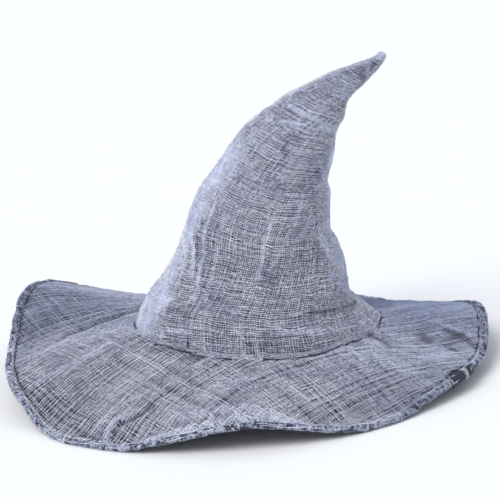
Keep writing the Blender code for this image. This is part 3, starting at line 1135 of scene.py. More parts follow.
    def _resample(
        self, rings: Array, tip: Array, cover: Array, ups: Array
    ) -> tuple[ClothGrid, Array, Array, Array]:
        """Space the rings evenly from the tip to the foot.

        Args:
            rings: Points from foot to tip.
            tip: The highest point, where the rings close.
            cover: The gauze's cover at the rings.
            ups: The rings' shares of the rise.

        Returns:
            The grid, each column's length, the cover and the shares of the rise.
        """
        last = rings[:, -1]
        middle = last.mean(0)
        cap = [
            (last - middle) * size + middle + (tip - middle) * step
            for size, step in ((0.0, 1.0), (0.55, 0.95), (0.86, 0.6))
        ]
        columns = np.concatenate([np.stack(cap, 1), rings[:, ::-1]], axis=1)
        covers = np.concatenate([np.repeat(cover[:, -1:], 3, 1), cover[:, ::-1]], axis=1)
        heights = np.concatenate([[1.0, 0.995, 0.99], ups[::-1]])
        gaps = np.linalg.norm(np.diff(columns, axis=1), axis=2)
        run = np.concatenate([np.zeros((len(gaps), 1)), np.cumsum(gaps, axis=1)], axis=1)
        share = np.linspace(0, 1, self.steps)
        points = np.empty((self.turns, self.steps, 3))
        shade = np.empty((self.turns, self.steps))
        up = np.empty((self.turns, self.steps))
        for turn in range(self.turns):
            where = share * run[turn, -1]
            for axis in range(3):
                points[turn, :, axis] = np.interp(where, run[turn], columns[turn, :, axis])
            shade[turn] = np.interp(where, run[turn], covers[turn])
            up[turn] = np.interp(where, run[turn], heights)
        return ClothGrid(points), run[:, -1], shade, up

    def flatten(self, turn: Array, share: Array) -> tuple[Array, Array]:
        """Give the place on the flat cut, whose tip is at 0, 0 and whose front runs to -y."""
        reach = share * self.length.mean()
        angle = ((turn - FRONT + 0.5) % 1.0 - 0.5) * TURN * self.opening
        return reach * angle, -reach * np.cos(self.arc * angle)

    def locate(self, x: Array, y: Array) -> tuple[Array, Array, Array]:
        """Give the turn from the front and the share of the way down of a place on the cut."""
        down = np.maximum(-y, 1e-4)
        reach = down
        for _ in range(5):
            angle = np.clip(x / reach, -1.4, 1.4)
            reach = down / np.cos(self.arc * angle)
        round_front = x / reach / (TURN * self.opening)
        share = np.where(y < 0, reach / self.length.mean(), -1.0)
        return round_front, (round_front + FRONT) % 1.0, share

    def land(self, x: Array, y: Array) -> Landing:
        """Find where places on the flat gauze come to lie."""
        round_front, turn, share = self.locate(x, y)
        grid = self.gauze
        up = grid.read(self.up, turn, share)
        return Landing(
            points=grid.read(grid.points, turn, share),
            normals=-grid.read(grid.normals, turn, share),
            inside=(np.abs(round_front) < 0.503) & (share > 0.010) & (share < 0.998),
            cover=grid.read(self.cover, turn, share),
            # Painted shade: less tone higher up, and much less near the tip.
            tone=1 - 0.12 * ramp(up, 0.3, 0.65) - 0.35 * ramp(up * 6, 4.9, 5.9),
            room=np.interp(share, np.linspace(0, 1, self.steps), self.room),
            bake=np.stack([round_front * 0.98 + 0.5, np.clip(share, 0, 1)], 2),
        )


# Threads


@dataclass
class Strands:
    """Rows of points on the flat cloth, a row for each thread, and its rank from 0 to 1."""

    x: Array
    y: Array
    kept: Array
    radius: Array
    lift: Array
    rank: Array
    seed: int


@dataclass
class ThreadBundle:
    """Rows of thread, as points on a grid of line and step, some of which are left out."""

    points: Array
    normals: Array
    kept: Array
    radius: Array
    bake: Array
    tone: Array

    def spin(self, name: str, material: bpy.types.Material) -> bpy.types.Object:
        """Spin the rows into three-sided threads.

        Args:
            name: The piece's name.
            material: Its material.

        Returns:
            The piece.
        """
        kept = self.kept.copy()
        before = np.zeros_like(kept)
        after = np.zeros_like(kept)
        before[:, 1:] = kept[:, :-1]
        after[:, :-1] = kept[:, 1:]
        kept &= before | after
        before[:, 1:] = kept[:, :-1]
        after[:, :-1] = kept[:, 1:]
        before &= kept
        after &= kept
        back = np.roll(self.points, 1, axis=1)
        ahead = np.roll(self.points, -1, axis=1)
        tangent = np.where(after[..., None], ahead, self.points) - np.where(
            before[..., None], back, self.points
        )
        tangent = unit(tangent)
        side = unit(np.cross(tangent, self.normals))
        up = np.cross(side, tangent)
        number = np.full(kept.shape, -1)
        number[kept] = np.arange(kept.sum())
        rings = []
        for k in range(3):
            angle = math.radians(90 + 120 * k)
            out = side * math.cos(angle) + up * math.sin(angle)
            rings.append((self.points + out * self.radius[..., None])[kept])
        points = np.stack(rings, 1).reshape(-1, 3)
        first = number[:, :-1][after[:, :-1]]
        second = number[:, 1:][after[:, :-1]]
        walls = np.concatenate(
            [
                np.stack([first * 3 + k, first * 3 + m, second * 3 + m, second * 3 + k], 1)
                for k, m in ((0, 1), (1, 2), (2, 0))
            ]
        )
        starts, ends = number[kept & ~before] * 3, number[kept & ~after] * 3
        caps = np.concatenate(
            [
                np.stack([starts + 2, starts + 1, starts], 1),
                np.stack([ends, ends + 1, ends + 2], 1),
            ]
        )
        places = np.repeat(self.bake[kept], 3, axis=0)
        bake = [places[walls], places[caps]]
        made = make_mesh(name, points, [walls, caps], material, bake)
        store(made, "tone", np.repeat(self.tone[kept], 3))
        return made


@dataclass(frozen=True)
class Weave:
    """How one set of threads lies in the flat cloth.

    Angles are in degrees. Bend is how the heading changes with x and with y, in degrees a metre.
    """

    angle: float
    pitch: float
    step: float
    radius: float
    seed: int
    streak: tuple[float, float]
    wobble: float
    lift: float
    bend: tuple[float, float, float] = (0.0, 0.0, 0.0)
    bend_limit: float = 25.0
    origin: tuple[float, float] = (0.0, 0.0)
    half: float = 0.25
    uneven: float = 0.16
    drags: tuple[Waver, ...] = (Waver(1, 0.0036, 0.075, 0.011), Waver(2, 0.0017, 0.045, 0.0055))
    sway: Waver = Waver(3, 0.006, 0.14, 0.10)
    shiver: Waver = Waver(4, 0.0007, 0.007, 0.0024)
    slubs: tuple[Waver, ...] = (Waver(6, 0.30, 0.012, 0.0025), Waver(7, 0.16, 0.07, 0.008))
    thickness: float = 0.14

    def heading(self, x: Array, y: Array) -> Array:
        """Give the threads' direction at places on the flat cloth, in radians."""
        turned = self.bend[0] + self.bend[1] * x + self.bend[2] * y
        return np.radians(self.angle + np.clip(turned, -self.bend_limit, self.bend_limit))

    def lay(self) -> Strands:
        """Lay threads side by side over the flat cloth."""
        rng = np.random.default_rng(self.seed)
        across = np.arange(-self.half, self.half, self.pitch)
        across = across + rng.normal(0, self.pitch * self.uneven, len(across))
        turn = self.heading(np.array(self.origin[0]), np.array(self.origin[1]))
        start_x = self.origin[0] - across * math.sin(turn)
        start_y = self.origin[1] + across * math.cos(turn)
        steps = int(self.half / self.step)
        runs = []
        for sign in (-1, 1):
            x, y = start_x, start_y
            run = []
            for _ in range(steps):
                heading = self.heading(x, y)
                x = x + sign * self.step * np.cos(heading)
                y = y + sign * self.step * np.sin(heading)
                run.append((x, y))
            runs.append(run)
        rows = [*runs[0][::-1], (start_x, start_y), *runs[1]]
        x = np.stack([row[0] for row in rows], 1)
        y = np.stack([row[1] for row in rows], 1)
        u, v = np.meshgrid(np.arange(-steps, steps + 1) * self.step, across)
        left, right = self.streak
        shift = (left + (right - left) * ramp(x, -0.2, 0.2)) * self.sum_of(self.drags, u, v)
        shift += self.sway.at(u, v, self.seed) + self.wobble * self.shiver.at(u, v, self.seed)
        heading = self.heading(x, y)
        x, y = x - shift * np.sin(heading), y + shift * np.cos(heading)
        thick = 1 + self.sum_of(self.slubs, u, v)
        thick = thick + rng.normal(0, self.thickness, (len(across), 1))
        radius = self.radius * np.clip(thick, 0.45, 1.7)
        rank = np.broadcast_to(rng.uniform(0, 1, (len(across), 1)), x.shape)
        kept, lift = np.ones(x.shape, bool), np.full(x.shape, self.lift)
        return Strands(x, y, kept, radius, lift, rank, self.seed)

    def sum_of(self, wavers: Sequence[Waver], u: Array, v: Array) -> Array:
        """Add wavers up, at lengths along and across the threads."""
        return sum(waver.at(u, v, self.seed) for waver in wavers)


@dataclass(frozen=True)
class LooseFibres:
    """Single fibres that have come loose and lie curled on the gauze."""

    count: int
    seed: int
    angle: float
    spread: float
    origin: tuple[float, float] = (0.0, 0.0)
    half: float = 0.21
    steps: int = 14
    step: float = 0.0025
    curl: float = 0.15
    radius: float = 0.00019
    lift: float = 0.0005
    height: float = 0.0010

    def lay(self) -> Strands:
        """Scatter the fibres round their origin."""
        rng = np.random.default_rng(self.seed)
        start = rng.uniform(-self.half, self.half, (self.count, 2)) + np.array(self.origin)
        heading = np.radians(rng.normal(self.angle, self.spread, (self.count, 1)))
        bends = rng.normal(0, self.curl, (self.count, self.steps))
        heading = heading + np.cumsum(bends, axis=1)
        x = start[:, :1] + np.cumsum(np.cos(heading), axis=1) * self.step
        y = start[:, 1:] + np.cumsum(np.sin(heading), axis=1) * self.step
        last = rng.integers(self.steps // 3, self.steps, (self.count, 1))
        share = np.arange(self.steps) / last
        arch = np.sin(math.pi * np.minimum(share, 1)) * rng.uniform(0.2, 1.0, (self.count, 1))
        radius = np.full(x.shape, self.radius)
        lift = self.lift + self.height * arch
        return Strands(x, y, share <= 1, radius, lift, np.zeros(x.shape), self.seed)


RIPPLE = Waver(9, 0.0003, 0.006, 0.006)


def lay_threads(
    strands: Strands,
    surface: BrimSurface | CrownSurface,
    pulls: Sequence[Pull],
    name: str,
    material: bpy.types.Material,
) -> bpy.types.Object:
    """Lay threads over a surface of the hat.

    Args:
        strands: The threads on the flat cloth.
        surface: What they lie on.
        pulls: Where they are dragged aside.
        name: The piece's name.
        material: Its material.

    Returns:
        The piece.
    """
    x, y = strands.x, strands.y
    for pull in pulls:
        dx, dy = pull.shift(x, y)
        x, y = x + dx, y + dy
    spot = surface.land(x, y)
    ripple = RIPPLE.at(x, y, strands.seed)
    bundle = ThreadBundle(
        points=spot.points + spot.normals * (strands.lift + ripple)[..., None],
        normals=spot.normals,
        kept=strands.kept & spot.inside & (strands.rank < spot.room),
        radius=strands.radius * np.clip(1 + 0.6 * np.minimum(spot.cover, 0.6), 0.3, 1.6),
        bake=spot.bake,
        tone=spot.tone,
    )
    return finish_piece(bundle.spin(name, material), Slot.GAUZE)


def lay_gauze(
    name: str,
    surface: BrimSurface | CrownSurface,
    weaves: Mapping[Family, Weave],
    loose: LooseFibres,
    thread: bpy.types.Material,
    pulls: Sequence[Pull] = (),
) -> list[bpy.types.Object]:
    """Lay the gauze's two sets of threads and its loose fibres.

    Args:
        name: The start of the pieces' names.
        surface: What they lie on.
        weaves: The two sets.
        loose: The loose fibres.
        thread: Their material.
        pulls: Where the sets are dragged aside.

    Returns:
        The pieces.
    """
    laid = [
        lay_threads(
            weaves[family].lay(), surface, pulls, f"{name}_threads_{family.name.lower()}", thread
        )
        for family in Family
    ]
    return [*laid, lay_threads(loose.lay(), surface, (), f"{name}_loose_fibres", thread)]


def lay_cloth(
    name: str,
    points: Array,
    flat: Array,
    finish: GauzeVeil | DarkCloth,
    cover: Array | None = None,
    bake: Array | None = None,
) -> bpy.types.Object:
    """Make a whole cloth from a grid that closes round.

    Args:
        name: The piece's name.
        points: Its places by step round and step along.
        flat: The same places on the flat cloth.
        finish: Its finish.
        cover: How much thicker a film is at each point.
        bake: The bake map's place of each point, where its steps don't give it.

    Returns:
        The new object.
    """
    faces, places = grid_faces(*points.shape[:2])
    if bake is not None:
        places = bake.reshape(-1, 2)[faces]
    made = make_mesh(name, points.reshape(-1, 3), [faces], finish.material(), [places])
    if cover is not None:
        store(made, "cover", cover.ravel())
    store(made, "flat", np.pad(flat.reshape(-1, 2), ((0, 0), (0, 1))))
    return made


# Sub-assemblies


@dataclass
class Brim:
    """The brim: dark cloth, sheer veil and two sets of threads."""

    surface: BrimSurface
    weaves: Mapping[Family, Weave] = field(
        default_factory=lambda: {
            Family.WARP: Weave(
                35, 0.0020, 0.0033, 0.00033, 101, (0.2, 0.25), 0.9, 0.0003, (-20, -39, -191)
            ),
            Family.WEFT: Weave(122, 0.0020, 0.0033, 0.00031, 201, (0.2, 0.4), 0.9, -0.0001),
        }
    )
    pulls: tuple[Pull, ...] = (
        Pull(0.113, -0.052, 60, 0.012, 0.004, 1.3),
        Pull(0.154, -0.049, 20, 0.008, 0.004, 1.0),
        Pull(0.181, -0.042, 20, 0.012, 0.005, 1.0),
        Pull(-0.074, -0.142, 28, 0.010, 0.0028, 0.8),
        Pull(-0.077, -0.064, 50, 0.010, 0.004, 0.8),
        Pull(-0.045, -0.100, 62, 0.008, 0.004, 0.8),
        Pull(0.085, -0.072, 60, 0.012, 0.0035, 1.0),
        Pull(-0.062, -0.076, 50, 0.010, 0.004, 0.6),
    )
    loose: LooseFibres = LooseFibres(620, 151, 40, 50)
    lining_drop: float = 0.0004
    flat_share: float = 0.72

    def veil(self) -> bpy.types.Object:
        """Make the sheer film of the gauze."""
        surface = self.surface
        finish = GauzeVeil("brim_veil", math.radians(35), math.radians(122))
        points = surface.gauze.film(surface.cover)
        bake = surface.bake(surface.flat)
        made = lay_cloth("brim_gauze_veil", points, surface.flat, finish, surface.cover, bake)
        return finish_piece(made, Slot.GAUZE, "brim_gauze")

    def cloth(self) -> bpy.types.Object:
        """Make the dark cloth under the gauze."""
        flat = self.surface.flat
        points = self.surface.lining.points - np.array([0, 0, self.lining_drop])
        bake = self.surface.bake(flat)
        made = lay_cloth("brim_dark_cloth", points, flat, DarkCloth(), bake=bake)
        return finish_piece(made, Slot.DARK, "brim_lining")

    def build(self, thread: bpy.types.Material, hem: Sequence[bpy.types.Object]) -> None:
        """Build the brim's pieces."""
        threads = lay_gauze("brim", self.surface, self.weaves, self.loose, thread, self.pulls)
        veil, cloth = self.veil(), self.cloth()


@dataclass
class Crown:
    """The crown: dark cone, sheer veil and two sets of threads."""

    surface: CrownSurface
    weaves: Mapping[Family, Weave] = field(
        default_factory=lambda: {
            Family.WARP: Weave(
                74, 0.0019, 0.0030, 0.00023, 301, (0.12, 0.12), 0.9, -0.0001,
                (-13, 0, -80), 14, (0.0, -0.16), 0.42,
            ),
            Family.WEFT: Weave(
                0, 0.0017, 0.0030, 0.00033, 401, (0.12, 0.12), 1.2, 0.0003,
                origin=(0.0, -0.16), half=0.42,
            ),
        }
    )
    loose: LooseFibres = LooseFibres(900, 351, 80, 40, (0.0, -0.16), 0.24)
    flat_size: tuple[float, float] = (0.52, 0.33)
    flat_share: float = 0.55
    lip: tuple[tuple[float, float, float], ...] = (
        (0.0002, 0.0006, 0.00036), (0.0009, 0.0003, 0.00030),
    )
    # The dark cord round the foot: the lining's edge peeking out, and a painted shadow line under
    # the gauze's folded foot.
    edge: tuple[tuple[float, float, float], ...] = (
        (0.0015, 0.0006, 0.0006), (0.0022, 0.0003, 0.0005),
    )
    waver: float = 0.0008
    lip_spans: tuple[tuple[float, float], ...] = ((246, 300),)
    lip_patches: Waver = Waver(370, 1.0, 9.0, 1.0)
    shadow_edge_spans: tuple[tuple[float, float], ...] = ((283, 356), (212, 246))
    shadow_edge_patches: Waver = Waver(381, 1.0, 14.0, 1.0)
    shadow_edge_limit: float = 0.35

    def veil(self) -> bpy.types.Object:
        """Make the sheer film of the gauze."""
        surface = self.surface
        finish = GauzeVeil("crown_veil", math.radians(76), 0.0, cloud=0.16)
        points = surface.gauze.film(surface.cover)
        made = lay_cloth("crown_gauze_veil", points, surface.flat, finish, surface.cover)
        return finish_piece(made, Slot.GAUZE, "crown_gauze")

    def cloth(self) -> bpy.types.Object:
        """Make the dark cone inside the gauze, on every second point."""
        points, flat = self.surface.lining.points[::2, ::2], self.surface.flat[::2, ::2]
        made = lay_cloth("crown_dark_cloth", points, flat, DarkCloth())
        return finish_piece(made, Slot.DARK, "crown_lining")

    def shown(
        self, spans: Sequence[tuple[float, float]], patches: Waver, limit: float
    ) -> Array:
        """Tell where round the foot a seam shows.

        Args:
            spans: Spans in degrees that it shows all over.
            patches: What decides elsewhere.
            limit: Above which value of that it shows.

        Returns:
            The answer at each turn of the surface, and at the first again.
        """
        around = np.append(np.arange(self.surface.turns), 0) * 360 / self.surface.turns
        inside = [(around > low) & (around < high) for low, high in spans]
        return np.any(inside, axis=0) | (patches.at(around, np.zeros(len(around))) > limit)

    def seam(
        self,
        strands: Sequence[tuple[float, float, float]],
        name: str,
        seed: int,
        material: bpy.types.Material,
        shown: Array,
    ) -> bpy.types.Object:
        """Lay threads round the foot.

        Args:
            strands: For each, how far outside the foot it lies, its height and its radius.
            name: The piece's name.
            seed: The seed of its waver.
            material: Its material.
            shown: Whether it shows at each turn.

        Returns:
            The piece.
        """
        surface = self.surface
        foot = surface.gauze.points[:, -1, :2]
        foot = np.concatenate([foot, foot[:1]])
        away = unit(foot - np.array([surface.foot_middle[0], 0]))
        at = np.arange(len(foot), dtype=float)
        rows = []
        for number, (out, rise, _) in enumerate(strands):
            waver = Drift(seed + number).at(at / 3.0, at * 0 + number) * self.waver
            plan = foot + away * (out + waver)[:, None]
            height = surface.brim.height(*plan.T) + rise + np.abs(waver) * 0.5
            rows.append(np.column_stack([plan, height]))
        points = np.stack(rows)
        shape = points.shape[:2]
        number = np.arange(shape[0])[:, None] * np.ones(shape)
        thick = 1 + 0.3 * Drift(seed + 9).at(np.broadcast_to(at / 2.0, shape), number)
        breaks = Drift(seed + 10).at(np.broadcast_to(at / 6.0, shape), number * 1.7)
        bundle = ThreadBundle(
            points=points,
            normals=np.broadcast_to(np.array([0.0, 0.0, 1.0]), points.shape),
            kept=np.tile(shown, (shape[0], 1)) & (breaks > -0.5),
            radius=np.array([radius for _, _, radius in strands])[:, None] * thick,
            bake=surface.brim.bake(points[..., :2]),
            # A fixed painted shade on the seam's threads.
            tone=np.full(shape, 0.75),
        )
        return finish_piece(bundle.spin(name, material), Slot.GAUZE)

    def build(self, thread: bpy.types.Material, dark: bpy.types.Material) -> None:
        """Build the crown's pieces."""
        threads = lay_gauze("crown", self.surface, self.weaves, self.loose, thread)
        pale = self.shown(self.lip_spans, self.lip_patches, 0.0)
        threads.append(self.seam(self.lip, "foot_lip", 371, thread, pale))
        veil, cloth = self.veil(), self.cloth()
        # A dark cord round the foot: partly the lining's edge, partly a painted shadow under the
        # gauze's fold.
        shown = self.shown(self.shadow_edge_spans, self.shadow_edge_patches, self.shadow_edge_limit)
        lining_edge_and_shadow = self.seam(self.edge, "foot_lining_edge_and_shadow", 391, dark, shown)


@dataclass
class Hem:
    """The rolled gauze round the brim's edge, its wrapped threads and its torn stretch."""

    surface: BrimSurface
    half_width: float = 0.0034
    inset: float = 0.0010
    half_height: float = 0.0026
    reach: float = 0.215
    rings: int = 620
    sides: int = 14
    wraps: int = 640
    wrap_lean: float = 0.0034
    wrap_middle: float = 0.8
    wrap_span: float = 5.4
    wrap_steps: int = 11
    wrap_jitter: float = 0.0009
    wrap_radius: float = 0.00036
    wrap_lift: float = 0.0003
    wrap_waver: Waver = Waver(73, 0.0008, 1 / 900, 1.0)
    wrap_shade: Waver = Waver(77, 0.5, 0.01, 1.0)
    wear: tuple[Waver, ...] = (Waver(74, 1.0, 0.0026, 0.625), Waver(75, 0.4, 0.014, 1.0))
    wear_limit: float = 0.05
    lump: Waver = Waver(31, 0.12, 0.005, 5 / 6)
    floor_gap: float = 0.0002
    strands: tuple[float, ...] = (0.3, 0.9, 1.5, 2.1, 2.7)
    strand_steps: int = 520
    strand_radius: float = 0.00034
    strand_lift: float = 0.0006
    strand_waver: Waver = Waver(61, 0.45, 1 / 160, 1 / 3.3)
    strand_breaks: Waver = Waver(62, 1.0, 1 / 130, 1 / 5.1)
    strand_slubs: Waver = Waver(63, 0.35, 1 / 200, 1.0)
    stitch: float = 0.0042
    stitch_share: float = 0.94
    stitch_jitter: float = 0.0003
    stitch_radius: float = 0.0005
    stitch_lift: float = 0.0013
    stitch_arch: float = 0.0003
    torn_rings: int = 26
    torn_reach: float = 1.2
    torn_size: float = 0.9

    def skin(
        self, turn: Array, angle: Array, lift: float = 0.0, size: float = 1.0
    ) -> tuple[Array, Array]:
        """Give points and outward directions on the roll.

        Args:
            turn: How far round the brim.
            angle: How far round the roll, from outward by way of up.
            lift: How far above the roll.
            size: The roll's thickness as a share.

        Returns:
            The points and the directions.
        """
        edge = self.surface.edge
        inset = self.half_width + self.inset
        middle = edge(turn, inset)
        tangent = unit(edge(turn + 4e-4, inset) - edge(turn - 4e-4, inset))
        out = np.stack([np.cos(turn * TURN), np.sin(turn * TURN), np.zeros_like(turn)], -1)
        out = unit(out - tangent * (out * tangent).sum(-1, keepdims=True))
        up = np.cross(out, tangent)
        up *= np.sign(up[..., 2:])
        size = size * (1 + self.lump.at(turn * TURN * self.reach, angle % TURN))
        wide = out * (np.cos(angle) * size)[..., None]
        tall = up * (np.sin(angle) * size)[..., None]
        normal = unit(wide / self.half_width + tall / self.half_height)
        points = middle + wide * self.half_width + tall * self.half_height + normal * lift
        points[..., 2] = np.maximum(points[..., 2], self.floor_gap + 1.5 * lift)
        return points, normal

    def steps_round(self, length: float) -> float:
        """Give a length along the edge as a share of a turn."""
        return length / (self.reach * TURN)

    def ends(self) -> tuple[float, float]:
        """Give the turns where the roll starts and ends, on the two sides of the tear."""
        gap, at = self.steps_round(self.surface.tear_half), self.surface.tear_turn
        return at + gap, at + 1 - gap

    def lit(self, points: Array) -> Array:
        """Give the painted shade at points, as a tone, the same as on the brim."""
        return self.surface.tone(points[..., 0], points[..., 1])

    def tube(
        self, name: str, turn: Array, size: Array, material: bpy.types.Material
    ) -> bpy.types.Object:
        """Make a stretch of the roll.

        Args:
            name: The piece's name.
            turn: The turns of its rings.
            size: Their thickness as a share.
            material: Its material.

        Returns:
            The new object.
        """
        n, rings = self.sides, len(turn)
        angle = np.broadcast_to(np.arange(n) * TURN / n, (rings, n))
        wide = np.broadcast_to(turn[:, None], (rings, n))
        points = self.skin(wide, angle, 0.0, np.broadcast_to(size[:, None], (rings, n)))[0]
        i = np.repeat(np.arange(rings - 1), n)
        j = np.tile(np.arange(n), rings - 1)
        k = (j + 1) % n
        walls = np.stack([i * n + j, (i + 1) * n + j, (i + 1) * n + k, i * n + k], 1)
        u = np.stack([i, i + 1, i + 1, i], 1) / rings
        v = np.stack([j, j, j + 1, j + 1], 1) / n
        bands = 8
        band = np.floor(u * bands - 1e-9).min(axis=1, keepdims=True)
        bake = np.stack([u * bands - band, (band + v * 0.9) / bands], 2)
        ends = np.stack([np.arange(n)[::-1], np.arange(n) + (rings - 1) * n], 0)
        caps = np.full((2, n, 2), 0.999)
        points = points.reshape(-1, 3)
        made = make_mesh(name, points, [walls, ends], material, [bake, caps])
        store(made, "tone", self.lit(points))
        return made

    def roll(self) -> bpy.types.Object:
        """Make the roll, open at the tear."""
        thin = ramp(np.abs(np.linspace(-1, 1, self.rings)) * 40, 39, 40) ** 2 * 0.6
        turn = np.linspace(*self.ends(), self.rings)
        made = self.tube("hem_roll", turn, 1 - thin, HemCloth().material())
        return finish_piece(made, Slot.HEM, "brim_hem")

    def worn(self) -> "Hem":
        """Give the hem as it hangs at the tear, deeper than elsewhere."""
        return replace(self, half_height=self.half_height * 2.0, inset=-0.0008)

    def torn_edge(self) -> bpy.types.Object:
        """Make the dark cloth's folded edge, bare at the tear."""
        gap = self.steps_round(self.surface.tear_half) * self.torn_reach
        turn = self.surface.tear_turn + np.linspace(-gap, gap, self.torn_rings)
        size = np.full(self.torn_rings, self.torn_size)
        made = self.worn().tube("torn_dark_edge", turn, size, DarkThread().material())
        return finish_piece(made, Slot.DARK)

    def wrapped(self, material: bpy.types.Material) -> bpy.types.Object:
        """Wrap threads slantwise round the roll, two ways, with worn gaps."""
        first, last = self.ends()
        share = np.linspace(-0.5, 0.5, self.wrap_steps)
        turns = []
        for lean, seed in ((1, 71), (-1, 72)):
            rng = np.random.default_rng(seed)
            start = np.linspace(first, last, self.wraps)
            start = start + rng.normal(0, self.steps_round(self.wrap_jitter), self.wraps)
            length = lean * self.wrap_lean * rng.uniform(0.3, 1.6, (self.wraps, 1))
            turns.append(start[:, None] + self.steps_round(length * share))
        turn = np.concatenate(turns)
        angle = np.broadcast_to(self.wrap_middle + self.wrap_span * share, turn.shape)
        turn = turn + self.steps_round(self.wrap_waver.at(turn, angle))
        points, normals = self.skin(turn, angle, self.wrap_lift)
        along = turn * TURN * self.reach
        worn = sum(waver.at(along, angle) for waver in self.wear)
        rng = np.random.default_rng(76)
        bundle = ThreadBundle(
            points=points,
            normals=normals,
            kept=(worn < self.wear_limit) & (turn > first) & (turn < last),
            radius=self.wrap_radius * rng.uniform(0.6, 1.4, (len(turn), 1)) * np.ones(turn.shape),
            bake=np.stack([turn % 1.0, (angle + 2) / 6], 2),
            # Painted shade from the brim, times a random tone along the wraps.
            tone=self.lit(points) * np.clip(0.8 + self.wrap_shade.at(along, angle), 0.2, 1),
        )
        return finish_piece(bundle.spin("hem_wrapped_threads", material), Slot.HEM)

    def lengthwise(self, material: bpy.types.Material) -> bpy.types.Object:
        """Lay broken threads along the roll."""
        turn = np.tile(np.linspace(*self.ends(), self.strand_steps), (len(self.strands), 1))
        number = np.arange(len(self.strands))[:, None] * np.ones(turn.shape)
        angle = np.array(self.strands)[:, None] + self.strand_waver.at(turn, number)
        points, normals = self.skin(turn, angle, self.strand_lift)
        bundle = ThreadBundle(
            points=points,
            normals=normals,
            kept=self.strand_breaks.at(turn, number) > 0.1,
            radius=self.strand_radius * (1 + self.strand_slubs.at(turn, number)),
            bake=np.stack([turn % 1.0, angle / TURN % 1.0], 2),
            tone=self.lit(points),
        )
        return finish_piece(bundle.spin("hem_lengthwise_threads", material), Slot.HEM)

    def stitches(self, material: bpy.types.Material) -> bpy.types.Object:
        """Sew the groove beside the roll with dark thread, which also stands in for the groove's
        shade as a painted shadow line.
        """
        surface, count = self.surface, int(self.reach * TURN / self.stitch)
        rng = np.random.default_rng(81)
        share = np.linspace(0, 1, 5)
        turn = (np.arange(count)[:, None] + share * self.stitch_share) / count
        reach = surface.round_rim(surface.rim, turn) - surface.groove
        reach = reach + rng.normal(0, self.stitch_jitter, (count, 1))
        x, y = reach * np.cos(turn * TURN), reach * np.sin(turn * TURN)
        spot = surface.land(x, y)
        lift = self.stitch_lift + self.stitch_arch * np.sin(share * math.pi)
        sewn = rng.uniform(0.1, 1, (count, 1)) < surface.grooved(turn)
        bundle = ThreadBundle(
            points=spot.points + spot.normals * lift[:, None],
            normals=spot.normals,
            kept=~surface.torn(x, y) & sewn,
            radius=np.full(x.shape, self.stitch_radius),
            bake=spot.bake,
            tone=spot.tone,
        )
        return finish_piece(bundle.spin("hem_stitches_and_groove_shadow", material), Slot.DARK)

    def build(
        self, thread: bpy.types.Material, dark: bpy.types.Material
    ) -> list[bpy.types.Object]:
        """Build the hem's pieces and return them."""
        return [
            self.roll(),
            self.torn_edge(),
            self.wrapped(thread),
            self.lengthwise(thread),
            self.stitches(dark),
            Tear(self).build(thread),
        ]


